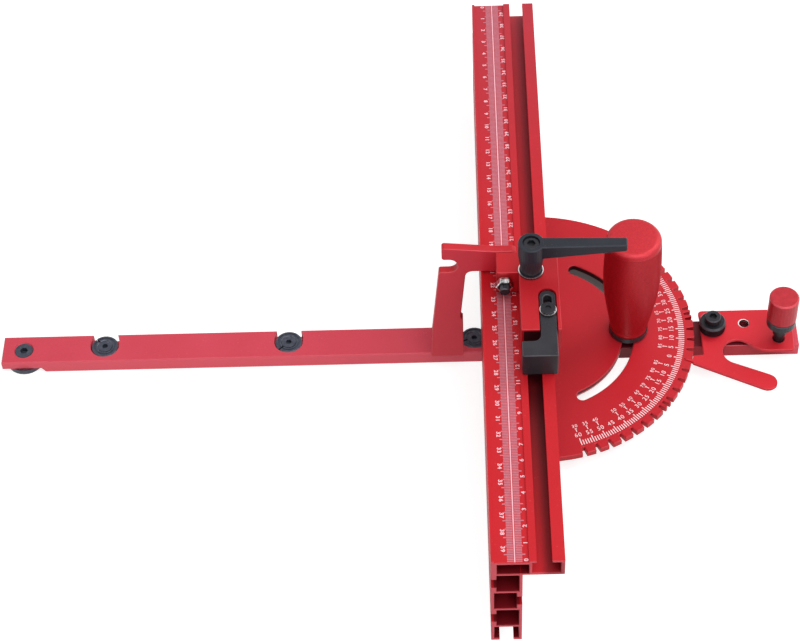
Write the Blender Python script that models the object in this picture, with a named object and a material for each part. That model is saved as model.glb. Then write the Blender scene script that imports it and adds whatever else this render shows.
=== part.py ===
"""Miter gauge: a slotted bar, a notched protractor head and a fence with a flip stop.

Metres, +Z up. X runs along the bar, Y along the fence, and the origin is on the
head's pivot axis at the height of the bar's underside.
"""
import math

import bpy
import bmesh
from mathutils import Matrix, Vector

# clearances
GAP = 0.0003
BORE_GAP = 0.0003

# bar
BAR_LENGTH = 0.450
BAR_WIDTH = 0.019
BAR_THICKNESS = 0.009
BAR_OVERHANG = 0.0031
BAR_EDGE = 0.0005
THIN_END_LENGTH = 0.0255
THIN_END_RELIEF = 0.0036
BAR_HOLE_FLOOR = 0.0020
BAR_PIN_HOLE_RADIUS = 0.0025

# anti-tip washer under the thin end
TIP_INSET = 0.0120
TIP_Y = -0.0005
TIP_WASHER_RADIUS = 0.012
TIP_WASHER_THICKNESS = 0.0029
TIP_HEAD_RADIUS = 0.0051
TIP_SHAFT_RADIUS = 0.0027

# split expansion discs in pockets, at shares of the bar's reach left of the pivot
DISC_SHARE = (0.1914, 0.5370, 0.8845)
DISC_Y = 0.0018
DISC_TURN_DEG = (135.0, -135.0, -160.0)
DISC_RADIUS = 0.0076
DISC_THICKNESS = 0.0048
DISC_SLIT = 0.0009
DISC_GROOVE_RADIUS = 0.0058
DISC_GROOVE = 0.0004
POCKET_RADIUS = 0.0082
POCKET_TRAVEL = 0.0034
POCKET_FLOOR = 0.0031
DISC_HEAD_RADIUS = 0.0041
DISC_SHAFT_RADIUS = 0.0019

# protractor head
HEAD_RADIUS = 0.0885
HEAD_THICKNESS = 0.0040
HEAD_LIFT = 0.0008
HEAD_EDGE = 0.0004
ZERO_ANGLE_DEG = -15.0
NOTCH_STEP_DEG = 5.0
NOTCH_REACH_DEG = 60.0
NOTCH_EXTRA_DEG = 22.5
NOTCH_MOUTH = 0.0026
NOTCH_ROOT = 0.0013
NOTCH_DEPTH = 0.0041
SLOT_RADIUS = 0.0516
SLOT_WIDTH = 0.0065
SLOT_REACH_DEG = 62.9
PIVOT_SHAFT_RADIUS = 0.0040
PIVOT_HEAD_RADIUS = 0.0070
PIVOT_HEAD_HEIGHT = 0.0024

# fence extrusion
FENCE_LENGTH = 0.400
FENCE_LEFT = -0.0311
FENCE_BOTTOM = 0.0106
FENCE_HEIGHT = 0.0704
FENCE_WEB = 0.0156
FENCE_FLANGE = 0.0362
FENCE_PLAIN_WALL = 0.0016
FENCE_SLOT_WALL = 0.0028
FENCE_SLOT = 0.0070
FENCE_FOOT_LIP = 0.0018
RIB = 0.0016
FOOT_CELL_TOP = 0.0120
BOX_HEIGHT = 0.0078
BOX_ROOF = 0.0028
BOX_LEFT_WALL = 0.0030
BOX_RIGHT = 0.0187
SCALE_LEFT = 0.0015
SCALE_RIGHT = 0.0186
SCALE_DEPTH = 0.0010
TRACK_LEFT = 0.0202
TRACK_RIGHT = 0.0342
TRACK_DROP = 0.0012
TRACK_FLOOR = 0.0019
TRACK_LIP = 0.0015
TRACK_MOUTH_LEFT = 0.0223
TRACK_MOUTH_RIGHT = 0.0299

# angle bracket between head and fence, and its screws
BRACKET_THICKNESS = 0.0040
BRACKET_HALF_LENGTH = 0.045
BRACKET_REACH = 0.0185
BRACKET_HEIGHT = 0.043
BRACKET_NOTCH_RADIUS = 0.0095
BRACKET_HOLE_Y = 0.031
FOOT_SCREW_X = -0.0055
FOOT_SCREW_Y = 0.033
FOOT_SCREW_RADIUS = 0.0025
FOOT_SCREW_HEAD = 0.0042
FENCE_BOLT_RADIUS = 0.0030
FENCE_BOLT_HEAD = 0.0050
FENCE_BOLT_HEAD_HEIGHT = 0.0055
TNUT_LENGTH = 0.014
TNUT_DEPTH = 0.0040

# flip stop block on the fence's top track
STOP_HEIGHT = 0.0160
STOP_BODY_LEFT = -0.0114
STOP_BODY_RIGHT = 0.0094
STOP_FRONT = -0.0677
STOP_BACK = -0.0135
STOP_ARM_LEFT = -0.0232
STOP_ARM_FRONT = -0.0282
STOP_EDGE = 0.0004
CLAMP_Y = -0.0274
CLAMP_STUD_RADIUS = 0.0030
CLAMP_STUD_REACH = 0.0079
CLAMP_HEAD_WIDTH = 0.0112
CLAMP_HEAD_HEIGHT = 0.0046
CLAMP_WASHER_RADIUS = 0.0067
WASHER_THICKNESS = 0.0010

# ratchet lever
LEVER_HEIGHT = 0.0211
LEVER_TURN_DEG = -3.0
LEVER_TOP_RADIUS = 0.0069
LEVER_FOOT_RADIUS = 0.0054
LEVER_LENGTH = 0.0500
LEVER_ARM_WIDTH = 0.0076
LEVER_TIP_WIDTH = 0.0060
LEVER_ARM_ROOT = 0.0094
LEVER_ARM_TIP = 0.0042
LEVER_SINK = 0.0001
LEVER_RECESS_RADIUS = 0.0046
LEVER_RECESS_DEPTH = 0.0078
LEVER_HEAD_RADIUS = 0.0042
LEVER_HEAD_HEIGHT = 0.0030
LEVER_HEAD_DROP = 0.0008
LEVER_SCREW_RADIUS = 0.0020

# flip arm and its pivot bolt
FLIP_AXIS_X = -0.0190
FLIP_AXIS_Z = 0.0905
FLIP_THICKNESS = 0.0048
FLIP_TOP = 0.0973
FLIP_PRONG_TOP = 0.1006
FLIP_RISE_X = -0.0240
FLIP_UNDERSIDE = 0.0816
FLIP_RIGHT = -0.0122
FLIP_CHIN_Z = 0.0876
FLIP_END_RADIUS = 0.0024
FLIP_PRONG_LEFT = -0.0520
FLIP_LEG_TOP_LEFT = -0.0537
FLIP_LEG_BEND_LEFT = -0.0586
FLIP_LEG_BEND_Z = 0.0300
FLIP_LEG_FOOT_LEFT = -0.0594
FLIP_LEG_FOOT_RIGHT = -0.0412
FLIP_LEG_STEP = 0.0013
FLIP_LEG_STEP_Z = 0.0425
FLIP_LEG_TOP_RIGHT = -0.0392
FLIP_FOOT_Z = 0.0106
FLIP_NOTCH_RADIUS = 0.0049
FLIP_NOTCH_X = -0.0484
FLIP_NOTCH_Z = 0.0864
FLIP_EDGE = 0.0004
FLIP_BOLT_RADIUS = 0.00275
FLIP_BOLT_END = -0.0360
FLIP_BOLT_HEAD_RADIUS = 0.0047
FLIP_BOLT_HEAD_HEIGHT = 0.0030
FLIP_NUT_RADIUS = 0.0048
FLIP_NUT_HEIGHT = 0.0042

# sliding limit stop in the block's pocket
POCKET_CENTRE_X = 0.00285
LIMIT_POCKET_HALF = 0.00475
LIMIT_POCKET_END = -0.0398
LIMIT_SINK = 0.0008
LIMIT_SHANK_THICKNESS = 0.0050
LIMIT_SHANK_HALF = 0.00425
LIMIT_END_GAP = 0.0005
LIMIT_SLOT_HALF = 0.0023
LIMIT_SLOT_FAR = -0.0435
LIMIT_SLOT_NEAR = -0.0573
LIMIT_HEAD_LEFT = -0.0114
LIMIT_HEAD_BACK = -0.0743
LIMIT_HEAD_FRONT = -0.0846
LIMIT_HEAD_BOTTOM = 0.0816
LIMIT_FILLET = 0.0040
LIMIT_SCREW_Y = -0.0546
LIMIT_SCREW_RADIUS = 0.0020
LIMIT_SCREW_HEAD = 0.0035
LIMIT_SCREW_HEAD_HEIGHT = 0.0040
LIMIT_WASHER_RADIUS = 0.0045

# clamping handle over the arc slot
HANDLE_WASHER_RADIUS = 0.0109
HANDLE_WASHER_HEIGHT = 0.0040
HANDLE_CUP_DEPTH = 0.0012
HANDLE_FOOT_RADIUS = 0.0103
HANDLE_HEIGHT = 0.0735
HANDLE_BELLY_RADIUS = 0.0159
HANDLE_FILLET = 0.0030
HANDLE_STUD_RADIUS = 0.0029
HANDLE_STUD_REACH = 0.0200

# index lever on the bar's right end; lengths along X run from its pivot
INDEX_CLEAR = 0.0102
INDEX_THICKNESS = 0.0045
INDEX_EDGE = 0.0004
INDEX_SHAFT_RADIUS = 0.0035
INDEX_COLLAR_RADIUS = 0.0074
INDEX_COLLAR_HEIGHT = 0.0062
INDEX_HEAD_RADIUS = 0.0045
INDEX_HEAD_HEIGHT = 0.0034
INDEX_HOLE_REACH = 0.0180
INDEX_HOLE_Y = 0.0030
INDEX_HOLE_RADIUS = 0.0031
INDEX_BACK = 0.0128
INDEX_HEEL = 0.0065
INDEX_REACH = 0.0452
INDEX_FRONT = -0.0170
INDEX_SLANT_REACH = 0.0321
INDEX_SLANT_Y = 0.0017
SCALLOP_REACH = 0.0130
SCALLOP_Y = -0.0173
SCALLOP_RADIUS = 0.0085
SCALLOP_START_DEG = -112.0
SCALLOP_END_DEG = -310.0
TAB_ANGLE_DEG = -29.3
TAB_RADIUS = 0.00565
TAB_REACH = 0.0271
TAB_END_Y = -0.0388
TOOTH_SHOULDER = 0.0038
TOOTH_SHOULDER_LIFT = 0.0009

# spring plunger on the index lever
PLUNGER_REACH = 0.0364
PLUNGER_Y = -0.0086
PLUNGER_NECK_RADIUS = 0.0029
PLUNGER_NECK_HEIGHT = 0.0112
PLUNGER_STEM_RADIUS = 0.0038
PLUNGER_STEM_LOW = 0.0048
PLUNGER_COLLAR_RADIUS = 0.0080
PLUNGER_COLLAR_HEIGHT = 0.0066
PLUNGER_CONE_HEIGHT = 0.0024
PLUNGER_ROD_RADIUS = 0.0016
PLUNGER_KNOB_RADIUS = 0.0082
PLUNGER_KNOB_HEIGHT = 0.0174
PLUNGER_KNOB_EDGE = 0.0009

# number of straight pieces round a full circle
ROUND_FINE = 44
ROUND = 28
ROUND_SMALL = 16

# places and heights that follow from the sizes above
INDEX_X = HEAD_RADIUS + INDEX_CLEAR
INDEX_HOLE_X = INDEX_X + INDEX_HOLE_REACH
INDEX_LEFT = INDEX_X - INDEX_HEEL
INDEX_RIGHT = INDEX_X + INDEX_REACH
INDEX_SLANT_X = INDEX_X + INDEX_SLANT_REACH
SCALLOP_X = INDEX_X + SCALLOP_REACH
TAB_END_X = INDEX_X + TAB_REACH
PLUNGER_X = INDEX_X + PLUNGER_REACH
BAR_RIGHT = INDEX_RIGHT + BAR_OVERHANG
BAR_LEFT = BAR_RIGHT - BAR_LENGTH
TIP_X = BAR_LEFT + TIP_INSET
DISC_X = tuple(BAR_LEFT * (1.0 - share) for share in DISC_SHARE)
BAR_TOP = BAR_THICKNESS
PLATE_TOP = BAR_TOP + HEAD_LIFT + HEAD_THICKNESS
FENCE_TOP = FENCE_BOTTOM + FENCE_HEIGHT
STOP_BOTTOM = FENCE_TOP + GAP
STOP_TOP = STOP_BOTTOM + STOP_HEIGHT
LEVER_FOOT = STOP_TOP + 2 * GAP + WASHER_THICKNESS
LEVER_TOP = LEVER_FOOT + LEVER_HEIGHT
CLAMP_STUD_TOP = LEVER_FOOT + CLAMP_STUD_REACH
TRACK_X = FENCE_LEFT + (TRACK_MOUTH_LEFT + TRACK_MOUTH_RIGHT) / 2
WEB_RIGHT = FENCE_LEFT + FENCE_WEB
CELL_HEIGHT = (FENCE_HEIGHT - FOOT_CELL_TOP - BOX_HEIGHT - BOX_ROOF - 4 * RIB) / 3
BACK_SLOT_Z = FENCE_BOTTOM + FOOT_CELL_TOP + 2 * RIB + 1.5 * CELL_HEIGHT


def clear_scene():
    """Remove whatever the file holds."""
    for item in list(bpy.data.objects):
        bpy.data.objects.remove(item, do_unlink=True)


def make_material(name, colour, roughness, metallic):
    """Make one Principled material."""
    material = bpy.data.materials.new(name)
    material.use_nodes = True
    shader = material.node_tree.nodes["Principled BSDF"]
    shader.inputs["Base Color"].default_value = (*colour, 1.0)
    shader.inputs["Roughness"].default_value = roughness
    shader.inputs["Metallic"].default_value = metallic
    material.diffuse_color = (*colour, 1.0)
    return material


def to_object(name, bm, material):
    """Turn a bmesh into a named object with outward normals."""
    bmesh.ops.remove_doubles(bm, verts=bm.verts, dist=0.000001)
    bmesh.ops.recalc_face_normals(bm, faces=bm.faces)
    mesh = bpy.data.meshes.new(name)
    bm.to_mesh(mesh)
    bm.free()
    node = bpy.data.objects.new(name, mesh)
    bpy.context.scene.collection.objects.link(node)
    if material is not None:
        mesh.materials.append(material)
    return node


def arc(centre, radius, start_deg, end_deg, around=ROUND):
    """Points on an arc, both ends included."""
    sweep = end_deg - start_deg
    steps = max(2, math.ceil(abs(sweep) / 360.0 * around))
    points = []
    for i in range(steps + 1):
        angle = math.radians(start_deg + sweep * i / steps)
        points.append((centre[0] + radius * math.cos(angle), centre[1] + radius * math.sin(angle)))
    return points


def circle(centre, radius, around=ROUND):
    """Points round a full circle."""
    return arc(centre, radius, 0.0, 360.0, around)[:-1]


def rounded(corners, around=ROUND_SMALL):
    """Points of a polygon whose corners (x, y, radius) are rounded."""
    points = []
    count = len(corners)
    for i, (x, y, radius) in enumerate(corners):
        here = Vector((x, y))
        before = (Vector(corners[i - 1][:2]) - here).normalized()
        after = (Vector(corners[(i + 1) % count][:2]) - here).normalized()
        if radius <= 0.0:
            points.append((x, y))
            continue
        half = before.angle(after) / 2
        centre = here + (before + after).normalized() * (radius / math.sin(half))
        reach = radius / math.tan(half)
        start = here + before * reach - centre
        end = here + after * reach - centre
        first = math.degrees(math.atan2(start.y, start.x))
        turn = math.degrees(math.atan2(start.x * end.y - start.y * end.x, start.dot(end)))
        points.extend(arc(centre, radius, first, first + turn, around))
    return points


def counter_clockwise(loop):
    """The same loop, running counter-clockwise."""
    area = 0.0
    for i, (x, y) in enumerate(loop):
        x_before, y_before = loop[i - 1]
        area += x_before * y - x * y_before
    return loop if area > 0 else loop[::-1]


def inset(loop, amount):
    """Move a counter-clockwise loop inward by an amount."""
    count = len(loop)
    moved = []
    for i in range(count):
        here = Vector(loop[i])
        along_in = (here - Vector(loop[i - 1])).normalized()
        along_out = (Vector(loop[(i + 1) % count]) - here).normalized()
        normal_in = Vector((-along_in.y, along_in.x))
        normal_out = Vector((-along_out.y, along_out.x))
        middle = normal_in + normal_out
        shift = middle * (amount / max(0.2, 1.0 + normal_in.dot(normal_out)))
        moved.append((here.x + shift.x, here.y + shift.y))
    return moved


def prism(name, material, outline, low, high, holes=(), edge=0.0):
    """Extrude an outline with holes along Z, with a small chamfer at both ends."""
    bm = bmesh.new()
    if edge > 0.0:
        levels = [(low, edge), (low + edge, 0.0), (high - edge, 0.0), (high, edge)]
    else:
        levels = [(low, 0.0), (high, 0.0)]
    loops = [(counter_clockwise(outline), 1.0)]
    loops += [(counter_clockwise(hole), -1.0) for hole in holes]
    caps = {0: [], len(levels) - 1: []}
    for loop, side in loops:
        rings = []
        for z, amount in levels:
            shape = inset(loop, side * amount) if amount else loop
            rings.append([bm.verts.new((x, y, z)) for x, y in shape])
        for lower, upper in zip(rings, rings[1:]):
            for i in range(len(loop)):
                bm.faces.new((lower[i - 1], lower[i], upper[i], upper[i - 1]))
        for level in caps:
            ring = rings[level]
            caps[level] += [bm.edges.get((ring[i - 1], ring[i])) for i in range(len(ring))]
    for edges in caps.values():
        bmesh.ops.triangle_fill(bm, use_beauty=True, use_dissolve=False, edges=edges)
    return to_object(name, bm, material)


def lathe(name, material, profile, around=ROUND, closed=False):
    """Spin a (radius, height) profile round Z."""
    bm = bmesh.new()
    verts = [bm.verts.new((radius, 0.0, z)) for radius, z in profile]
    edges = [bm.edges.new(pair) for pair in zip(verts, verts[1:])]
    if closed:
        edges.append(bm.edges.new((verts[-1], verts[0])))
    bmesh.ops.spin(bm, geom=verts + edges, cent=(0, 0, 0), axis=(0, 0, 1), dvec=(0, 0, 0),
                   angle=math.tau, steps=around, use_merge=False, use_duplicate=False)
    return to_object(name, bm, material)


def ring(name, material, inner, outer, low, high, around=ROUND):
    """A plain washer."""
    profile = [(inner, low), (outer, low), (outer, high), (inner, high)]
    return lathe(name, material, profile, around, closed=True)


def box(name, material, low, high):
    """A plain block between two corners."""
    outline = [(low[0], low[1]), (high[0], low[1]), (high[0], high[1]), (low[0], high[1])]
    return prism(name, material, outline, low[2], high[2])


def combine(node, other, operation):
    """Join another solid to a node, or cut it away, and drop it."""
    modifier = node.modifiers.new(operation.title(), "BOOLEAN")
    modifier.operation = operation
    modifier.solver = "EXACT"
    modifier.object = other
    depsgraph = bpy.context.evaluated_depsgraph_get()
    mesh = bpy.data.meshes.new_from_object(node.evaluated_get(depsgraph))
    mesh.name = node.name
    node.modifiers.clear()
    node.data = mesh
    bpy.data.objects.remove(other, do_unlink=True)


def cut_round(node, centre, radius, low, high, around=ROUND):
    """Cut an upright round hole."""
    cutter = prism("cutter", None, circle(centre, radius, around), low, high)
    combine(node, cutter, "DIFFERENCE")


def cut_hex(node, width, top, depth):
    """Sink a hexagonal socket into a fastener's head."""
    cutter = prism("cutter", None, circle((0, 0), width / math.sqrt(3), 6), top - depth, top + depth)
    combine(node, cutter, "DIFFERENCE")


def cap_screw(name, material, head, head_height, shaft, length, socket):
    """Socket cap screw: the head stands on z = 0, the shaft hangs below."""
    edge = 0.0004
    profile = [(0, -length), (shaft - edge, -length), (shaft, edge - length), (shaft, 0), (head, 0),
               (head, head_height - edge), (head - edge, head_height), (0, head_height)]
    node = lathe(name, material, profile, ROUND_SMALL)
    cut_hex(node, socket, head_height, head_height * 0.6)
    return node


def flush_screw(name, material, head, shaft, length, socket):
    """Countersunk screw: the flat head's top is at z = 0."""
    rim = 0.0003
    profile = [(0, -length), (shaft, -length), (shaft, shaft - head - rim), (head, -rim), (head, 0), (0, 0)]
    node = lathe(name, material, profile, ROUND_SMALL)
    cut_hex(node, socket, 0.0, head * 0.55)
    return node


def cut_countersink(node, centre, top, head, shaft, low):
    """Cut the seat of a countersunk screw, with clearance all round."""
    wide = head + BORE_GAP * 1.6
    narrow = shaft + BORE_GAP
    profile = [(0, low), (narrow, low), (narrow, top + narrow - wide), (wide, top), (wide, top + 0.002),
               (0, top + 0.002)]
    cutter = lathe("cutter", None, profile, ROUND)
    cutter.location = (centre[0], centre[1], 0)
    bpy.context.view_layer.update()
    combine(node, cutter, "DIFFERENCE")


def polar(radius, angle_deg):
    """A point at a radius and an angle from the head's pivot."""
    angle = math.radians(angle_deg)
    return (radius * math.cos(angle), radius * math.sin(angle))


def place(node, location=(0, 0, 0), turn=(0, 0, 0)):
    """Put a node where it belongs."""
    node.location = location
    node.rotation_euler = turn


def set_origin(node, origin):
    """Move a node's origin without moving its shape."""
    node.data.transform(Matrix.Translation(-Vector(origin)))
    node.location = origin


def make_bar():
    """Bar with disc pockets, a thin end and screw holes, and the discs in it."""
    half = BAR_WIDTH / 2
    outline = [(BAR_LEFT, -half), (BAR_RIGHT, -half), (BAR_RIGHT, half), (BAR_LEFT, half)]
    bar = prism("miter_bar", RED, outline, 0.0, BAR_TOP, edge=BAR_EDGE)
    spare = 0.002
    step = box("cutter", None, (BAR_LEFT - spare, -half - spare, -spare),
               (BAR_LEFT + THIN_END_LENGTH, half + spare, THIN_END_RELIEF))
    combine(bar, step, "DIFFERENCE")
    for x in DISC_X:
        far = DISC_Y + POCKET_TRAVEL
        pocket = (arc((x, DISC_Y - GAP), POCKET_RADIUS, -180.0, 0.0)
                  + arc((x, far), POCKET_RADIUS, 0.0, 180.0))
        cutter = prism("cutter", None, pocket, POCKET_FLOOR, BAR_TOP + spare)
        combine(bar, cutter, "DIFFERENCE")
        cut_round(bar, (x, DISC_Y), DISC_SHAFT_RADIUS + BORE_GAP, -spare, POCKET_FLOOR + spare, ROUND_SMALL)
    cut_countersink(bar, (TIP_X, TIP_Y), BAR_TOP - GAP, TIP_HEAD_RADIUS, TIP_SHAFT_RADIUS, -spare)
    for x, radius in ((0.0, PIVOT_SHAFT_RADIUS), (SLOT_RADIUS, HANDLE_STUD_RADIUS),
                      (INDEX_X, INDEX_SHAFT_RADIUS)):
        cut_round(bar, (x, 0.0), radius + BORE_GAP, BAR_HOLE_FLOOR, BAR_TOP + spare, ROUND_SMALL)
    cut_round(bar, (INDEX_HOLE_X, INDEX_HOLE_Y), BAR_PIN_HOLE_RADIUS, -spare, BAR_TOP + spare, ROUND_SMALL)

    washer_top = THIN_END_RELIEF - GAP
    washer = ring("anti_tip_washer", BLACK, TIP_SHAFT_RADIUS + BORE_GAP, TIP_WASHER_RADIUS,
                  washer_top - TIP_WASHER_THICKNESS, washer_top)
    place(washer, (TIP_X, TIP_Y, 0))
    screw = flush_screw("anti_tip_screw", BLACK, TIP_HEAD_RADIUS, TIP_SHAFT_RADIUS,
                        BAR_TOP - GAP - washer_top + TIP_WASHER_THICKNESS - GAP, 0.0040)
    place(screw, (TIP_X, TIP_Y, BAR_TOP - GAP))


def make_discs():
    """Three split discs, each spread by a countersunk screw."""
    low = POCKET_FLOOR + GAP
    top = low + DISC_THICKNESS
    bore = DISC_SHAFT_RADIUS + BORE_GAP
    wide = DISC_HEAD_RADIUS + BORE_GAP * 1.6
    groove = DISC_GROOVE
    profile = [(bore, low), (DISC_RADIUS, low), (DISC_RADIUS, top - groove), (DISC_RADIUS - groove, top),
               (DISC_GROOVE_RADIUS + groove, top), (DISC_GROOVE_RADIUS + groove, top - groove),
               (DISC_GROOVE_RADIUS - groove, top - groove), (DISC_GROOVE_RADIUS - groove, top),
               (wide, top), (bore, top + bore - wide)]
    disc = lathe("expansion_disc_left", BLACK, profile, ROUND, closed=True)
    slit = box("cutter", None, (0.0, -DISC_SLIT / 2, 0.0), (2 * DISC_RADIUS, DISC_SLIT / 2, BAR_TOP))
    combine(disc, slit, "DIFFERENCE")
    screw = flush_screw("disc_screw_left", BLACK, DISC_HEAD_RADIUS, DISC_SHAFT_RADIUS, top - GAP, 0.0030)
    for i, name in enumerate(("left", "middle", "right")):
        if i:
            disc = disc.copy()
            screw = screw.copy()
            disc.name = "expansion_disc_" + name
            screw.name = "disc_screw_" + name
            bpy.context.scene.collection.objects.link(disc)
            bpy.context.scene.collection.objects.link(screw)
        place(disc, (DISC_X[i], DISC_Y, 0), (0, 0, math.radians(DISC_TURN_DEG[i])))
        place(screw, (DISC_X[i], DISC_Y, top))


def notch_angles():
    """World angles of the index notches at rest."""
    steps = int(NOTCH_REACH_DEG / NOTCH_STEP_DEG)
    angles = [i * NOTCH_STEP_DEG for i in range(-steps, steps + 1)]
    angles += [-NOTCH_EXTRA_DEG, NOTCH_EXTRA_DEG]
    return [ZERO_ANGLE_DEG + angle for angle in sorted(angles)]


def make_head():
    """Notched plate with an arc slot, turning on the bar."""
    flat = WEB_RIGHT + GAP
    limit = math.degrees(math.acos(flat / HEAD_RADIUS))
    mouth = math.degrees(NOTCH_MOUTH / 2 / HEAD_RADIUS)
    root_radius = HEAD_RADIUS - NOTCH_DEPTH
    root = math.degrees(NOTCH_ROOT / 2 / root_radius)
    outline = []
    start = -limit
    for angle in notch_angles():
        outline += arc((0, 0), HEAD_RADIUS, start, angle - mouth, ROUND_FINE * 2)
        outline += [polar(root_radius, angle - root), polar(root_radius, angle + root)]
        start = angle + mouth
    outline += arc((0, 0), HEAD_RADIUS, start, limit, ROUND_FINE * 2)
    half = SLOT_WIDTH / 2
    reach = SLOT_REACH_DEG
    slot = arc((0, 0), SLOT_RADIUS + half, -reach, reach, ROUND_FINE * 2)
    slot += arc(polar(SLOT_RADIUS, reach), half, reach, reach + 180.0)[1:]
    slot += arc((0, 0), SLOT_RADIUS - half, reach, -reach, ROUND_FINE * 2)[1:]
    slot += arc(polar(SLOT_RADIUS, -reach), half, 180.0 - reach, 360.0 - reach)[1:-1]
    holes = [slot, circle((0, 0), PIVOT_SHAFT_RADIUS + BORE_GAP, ROUND_SMALL)]
    for y in (-FOOT_SCREW_Y, FOOT_SCREW_Y):
        holes.append(circle((FOOT_SCREW_X, y), FOOT_SCREW_RADIUS + BORE_GAP, ROUND_SMALL))
    prism("protractor_head", RED_HEAD, outline, PLATE_TOP - HEAD_THICKNESS, PLATE_TOP, holes, HEAD_EDGE)
    screw = cap_screw("head_pivot_screw", BLACK, PIVOT_HEAD_RADIUS, PIVOT_HEAD_HEIGHT, PIVOT_SHAFT_RADIUS,
                      PLATE_TOP - BAR_HOLE_FLOOR, 0.0050)
    place(screw, (0, 0, PLATE_TOP + GAP))


def make_fence():
    """Fence extrusion with a scale face, a top track and side slots, along Y."""
    web = FENCE_WEB
    plain = web - FENCE_PLAIN_WALL
    slotted = web - FENCE_SLOT_WALL
    foot_left = (web - FENCE_SLOT) / 2
    cell4 = FOOT_CELL_TOP + RIB
    cell3 = cell4 + CELL_HEIGHT + RIB
    cell2 = cell3 + CELL_HEIGHT + RIB
    half_slot = FENCE_SLOT / 2
    middle = CELL_HEIGHT / 2

    def front_cell(low):
        centre = low + middle
        return [(0, centre - half_slot), (FENCE_SLOT_WALL, centre - half_slot), (FENCE_SLOT_WALL, low),
                (plain, low), (plain, low + CELL_HEIGHT), (FENCE_SLOT_WALL, low + CELL_HEIGHT),
                (FENCE_SLOT_WALL, centre + half_slot), (0, centre + half_slot)]

    def back_cell(low):
        centre = low + middle
        return [(web, centre + half_slot), (slotted, centre + half_slot), (slotted, low + CELL_HEIGHT),
                (FENCE_PLAIN_WALL, low + CELL_HEIGHT), (FENCE_PLAIN_WALL, low), (slotted, low),
                (slotted, centre - half_slot), (web, centre - half_slot)]

    top = FENCE_HEIGHT
    face = top - SCALE_DEPTH
    box_low = cell2 + CELL_HEIGHT + RIB
    flange_low = box_low - TRACK_DROP
    track_floor = flange_low + TRACK_FLOOR
    lip = top - TRACK_LIP
    outline = [(foot_left, 0), (foot_left, FENCE_FOOT_LIP), (FENCE_PLAIN_WALL, FENCE_FOOT_LIP),
               (FENCE_PLAIN_WALL, FOOT_CELL_TOP), (plain, FOOT_CELL_TOP), (plain, FENCE_FOOT_LIP),
               (web - foot_left, FENCE_FOOT_LIP), (web - foot_left, 0), (web, 0)]
    outline += back_cell(cell3)[::-1]
    outline += [(web, flange_low), (FENCE_FLANGE, flange_low), (FENCE_FLANGE, top),
                (TRACK_MOUTH_RIGHT, top), (TRACK_MOUTH_RIGHT, lip), (TRACK_RIGHT, lip),
                (TRACK_RIGHT, track_floor), (TRACK_LEFT, track_floor), (TRACK_LEFT, lip),
                (TRACK_MOUTH_LEFT, lip), (TRACK_MOUTH_LEFT, top), (SCALE_RIGHT, top), (SCALE_RIGHT, face),
                (SCALE_LEFT, face), (SCALE_LEFT, top), (0, top)]
    outline += front_cell(cell2)[::-1]
    outline += front_cell(cell4)[::-1]
    outline += [(0, 0)]
    hollow = [(BOX_LEFT_WALL, box_low), (BOX_RIGHT, box_low), (BOX_RIGHT, box_low + BOX_HEIGHT),
              (BOX_LEFT_WALL, box_low + BOX_HEIGHT)]
    fence = prism("fence", RED_FENCE, outline, -FENCE_LENGTH / 2, FENCE_LENGTH / 2, [hollow], 0.0003)
    place(fence, (FENCE_LEFT, 0, FENCE_BOTTOM), (math.radians(90), 0, 0))


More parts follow.
